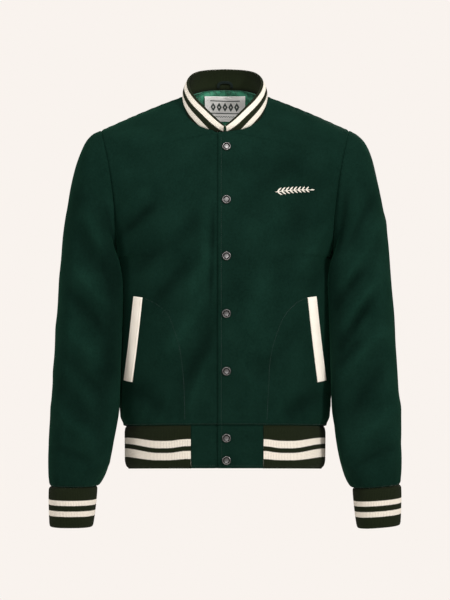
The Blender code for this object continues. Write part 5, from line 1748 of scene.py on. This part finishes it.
def build_sprig():
    """A plain twig in raised stitch on the wearer's left chest: arched stem, pairs of pointed leaves, tip.

    The stem is a parabola; a leaf leans away from it by a fixed angle and bends back with the square of its
    length, and its thread is thickest in the middle, by a sine.
    """
    share = np.linspace(0.0, 1.0, 120)
    stem = SPRIG_FOOT + np.stack([SPRIG_LENGTH * share, 9.0 * share - 5.0 * share**2], axis=-1)
    pointed = np.sin(math.pi * np.linspace(0.06, 0.97, LEAF_POINTS)) ** 0.8
    lines = [(stem, np.full(len(share), 0.62))]
    for pair in range(LEAF_PAIRS):
        at = 0.05 + 0.118 * pair
        foot = np.array([np.interp(at, share, stem[:, axis]) for axis in range(2)])
        for lean in LEAF_LEANS:
            turn = math.radians(lean) + 0.09
            along = np.linspace(0.0, LEAF_LENGTH - 0.35 * pair, LEAF_POINTS)
            bend = 0.012 * along**2 * np.sign(lean)
            x = along * math.cos(turn) + bend * math.sin(turn)
            z = along * math.sin(turn) - bend * math.cos(turn)
            lines.append((foot + np.stack([x, z], axis=-1), 1.45 * pointed))
    tip = np.linspace(0.0, 7.0, LEAF_POINTS)
    end = 1.3 * np.sin(math.pi * np.linspace(0.1, 0.97, LEAF_POINTS))
    lines.append((stem[-1] + np.stack([tip, 0.05 * tip], axis=-1), end))
    patches = []
    for line, girth in lines:
        place, normal = lift(fronts["left"], line[:, 0], line[:, 1])
        keys = mean_keys(place[:, None])
        radius = girth * (1 + 0.10 * np.sin(2 * math.pi * keys / 0.9))
        patches.append(tube(place + (0.35 - 0.55 * girth)[:, None] * normal, normal, radius))
    add_piece("chest_sprig", patches, (cream_thread,), ())


build_panels()
hem = hem_line()
build_hem(hem)
tabs = build_tabs(hem)
build_cuffs()
build_collar()
build_lining()
build_label()
build_loop()
build_welts()
build_snaps(tabs)
build_stitching(tabs)
build_sprig()

# ---------------------------------------------------------------- floor, light and camera

FLOOR_HEIGHT = -1.35
FLOOR_SIZE = 3.2
PAPER = rgb(0.947, 0.896, 0.855)
AMBIENT = 0.27
CAMERA_PLACE = (0.0, -CAMERA_DISTANCE * MM, -0.26)
CAMERA_DROP = 0.085     # it looks this far under its own height at the jacket
LENS_MM = 155.3
LIGHTS = {              # place, aim, watts and size
    "key": ((2.5, -2.5, 1.3), (0.0, 0.0, -0.3), 98.0, 0.8),
    "front": ((-0.4, -4.1, 0.7), (0.0, 0.0, -0.25), 56.0, 0.7),
    "neck": ((0.0, -0.42, 0.40), (0.0, 0.05, -0.01), 1.5, 0.12),
    "side": ((-2.8, -0.9, 0.6), (0.0, 0.0, -0.3), 26.0, 0.9),
    "back": ((0.6, 2.4, 0.9), (0.0, 0.0, -0.3), 18.0, 1.2),
}


def add_floor():
    """A pale square under the jacket."""
    half = FLOOR_SIZE / 2
    mesh = bpy.data.meshes.new("floor")
    corners = [(-half, -half), (half, -half), (half, half), (-half, half)]
    mesh.from_pydata([(x, y, FLOOR_HEIGHT) for x, y in corners], [], [(0, 1, 2, 3)])
    made, _, _ = finish_of("pale_floor", PAPER, 0.9)
    mesh.materials.append(made)
    floor = bpy.data.objects.new("floor", mesh)
    bpy.context.scene.collection.objects.link(floor)


def add_light(name, place, aim, watts, size):
    """A round soft light that faces a point."""
    data = bpy.data.lights.new(name, "AREA")
    data.shape = "DISK"
    data.size = size
    data.energy = watts
    light = bpy.data.objects.new(name, data)
    light.location = place
    way = np.array(aim) - np.array(place)
    light.rotation_euler = (math.acos(-way[2] / np.linalg.norm(way)), 0.0, math.atan2(-way[0], way[1]))
    bpy.context.scene.collection.objects.link(light)


def add_world():
    """Even paper-white surroundings: dimmer as light than as what the lens sees."""
    world = bpy.data.worlds.new("paper")
    world.use_nodes = True
    bpy.context.scene.world = world
    g = Graph(world.node_tree)
    seen = world.node_tree.nodes.new("ShaderNodeLightPath").outputs["Is Camera Ray"]
    background = world.node_tree.nodes["Background"]
    background.inputs["Color"].default_value = PAPER
    g.tree.links.new(g.math("MULTIPLY_ADD", seen, 1.0 - AMBIENT, AMBIENT), background.inputs["Strength"])


def add_camera():
    """The camera level with the chest, at the photo's angle."""
    data = bpy.data.cameras.new("camera")
    data.lens = LENS_MM
    data.sensor_width = 36.0
    camera = bpy.data.objects.new("camera", data)
    camera.location = CAMERA_PLACE
    camera.rotation_euler = (math.pi / 2 - math.atan(CAMERA_DROP / -CAMERA_PLACE[1]), 0.0, 0.0)
    bpy.context.scene.collection.objects.link(camera)
    bpy.context.scene.camera = camera


add_floor()
add_world()
for light_name, how in LIGHTS.items():
    add_light(light_name, *how)
add_camera()
bpy.context.scene.view_settings.view_transform = "Standard"
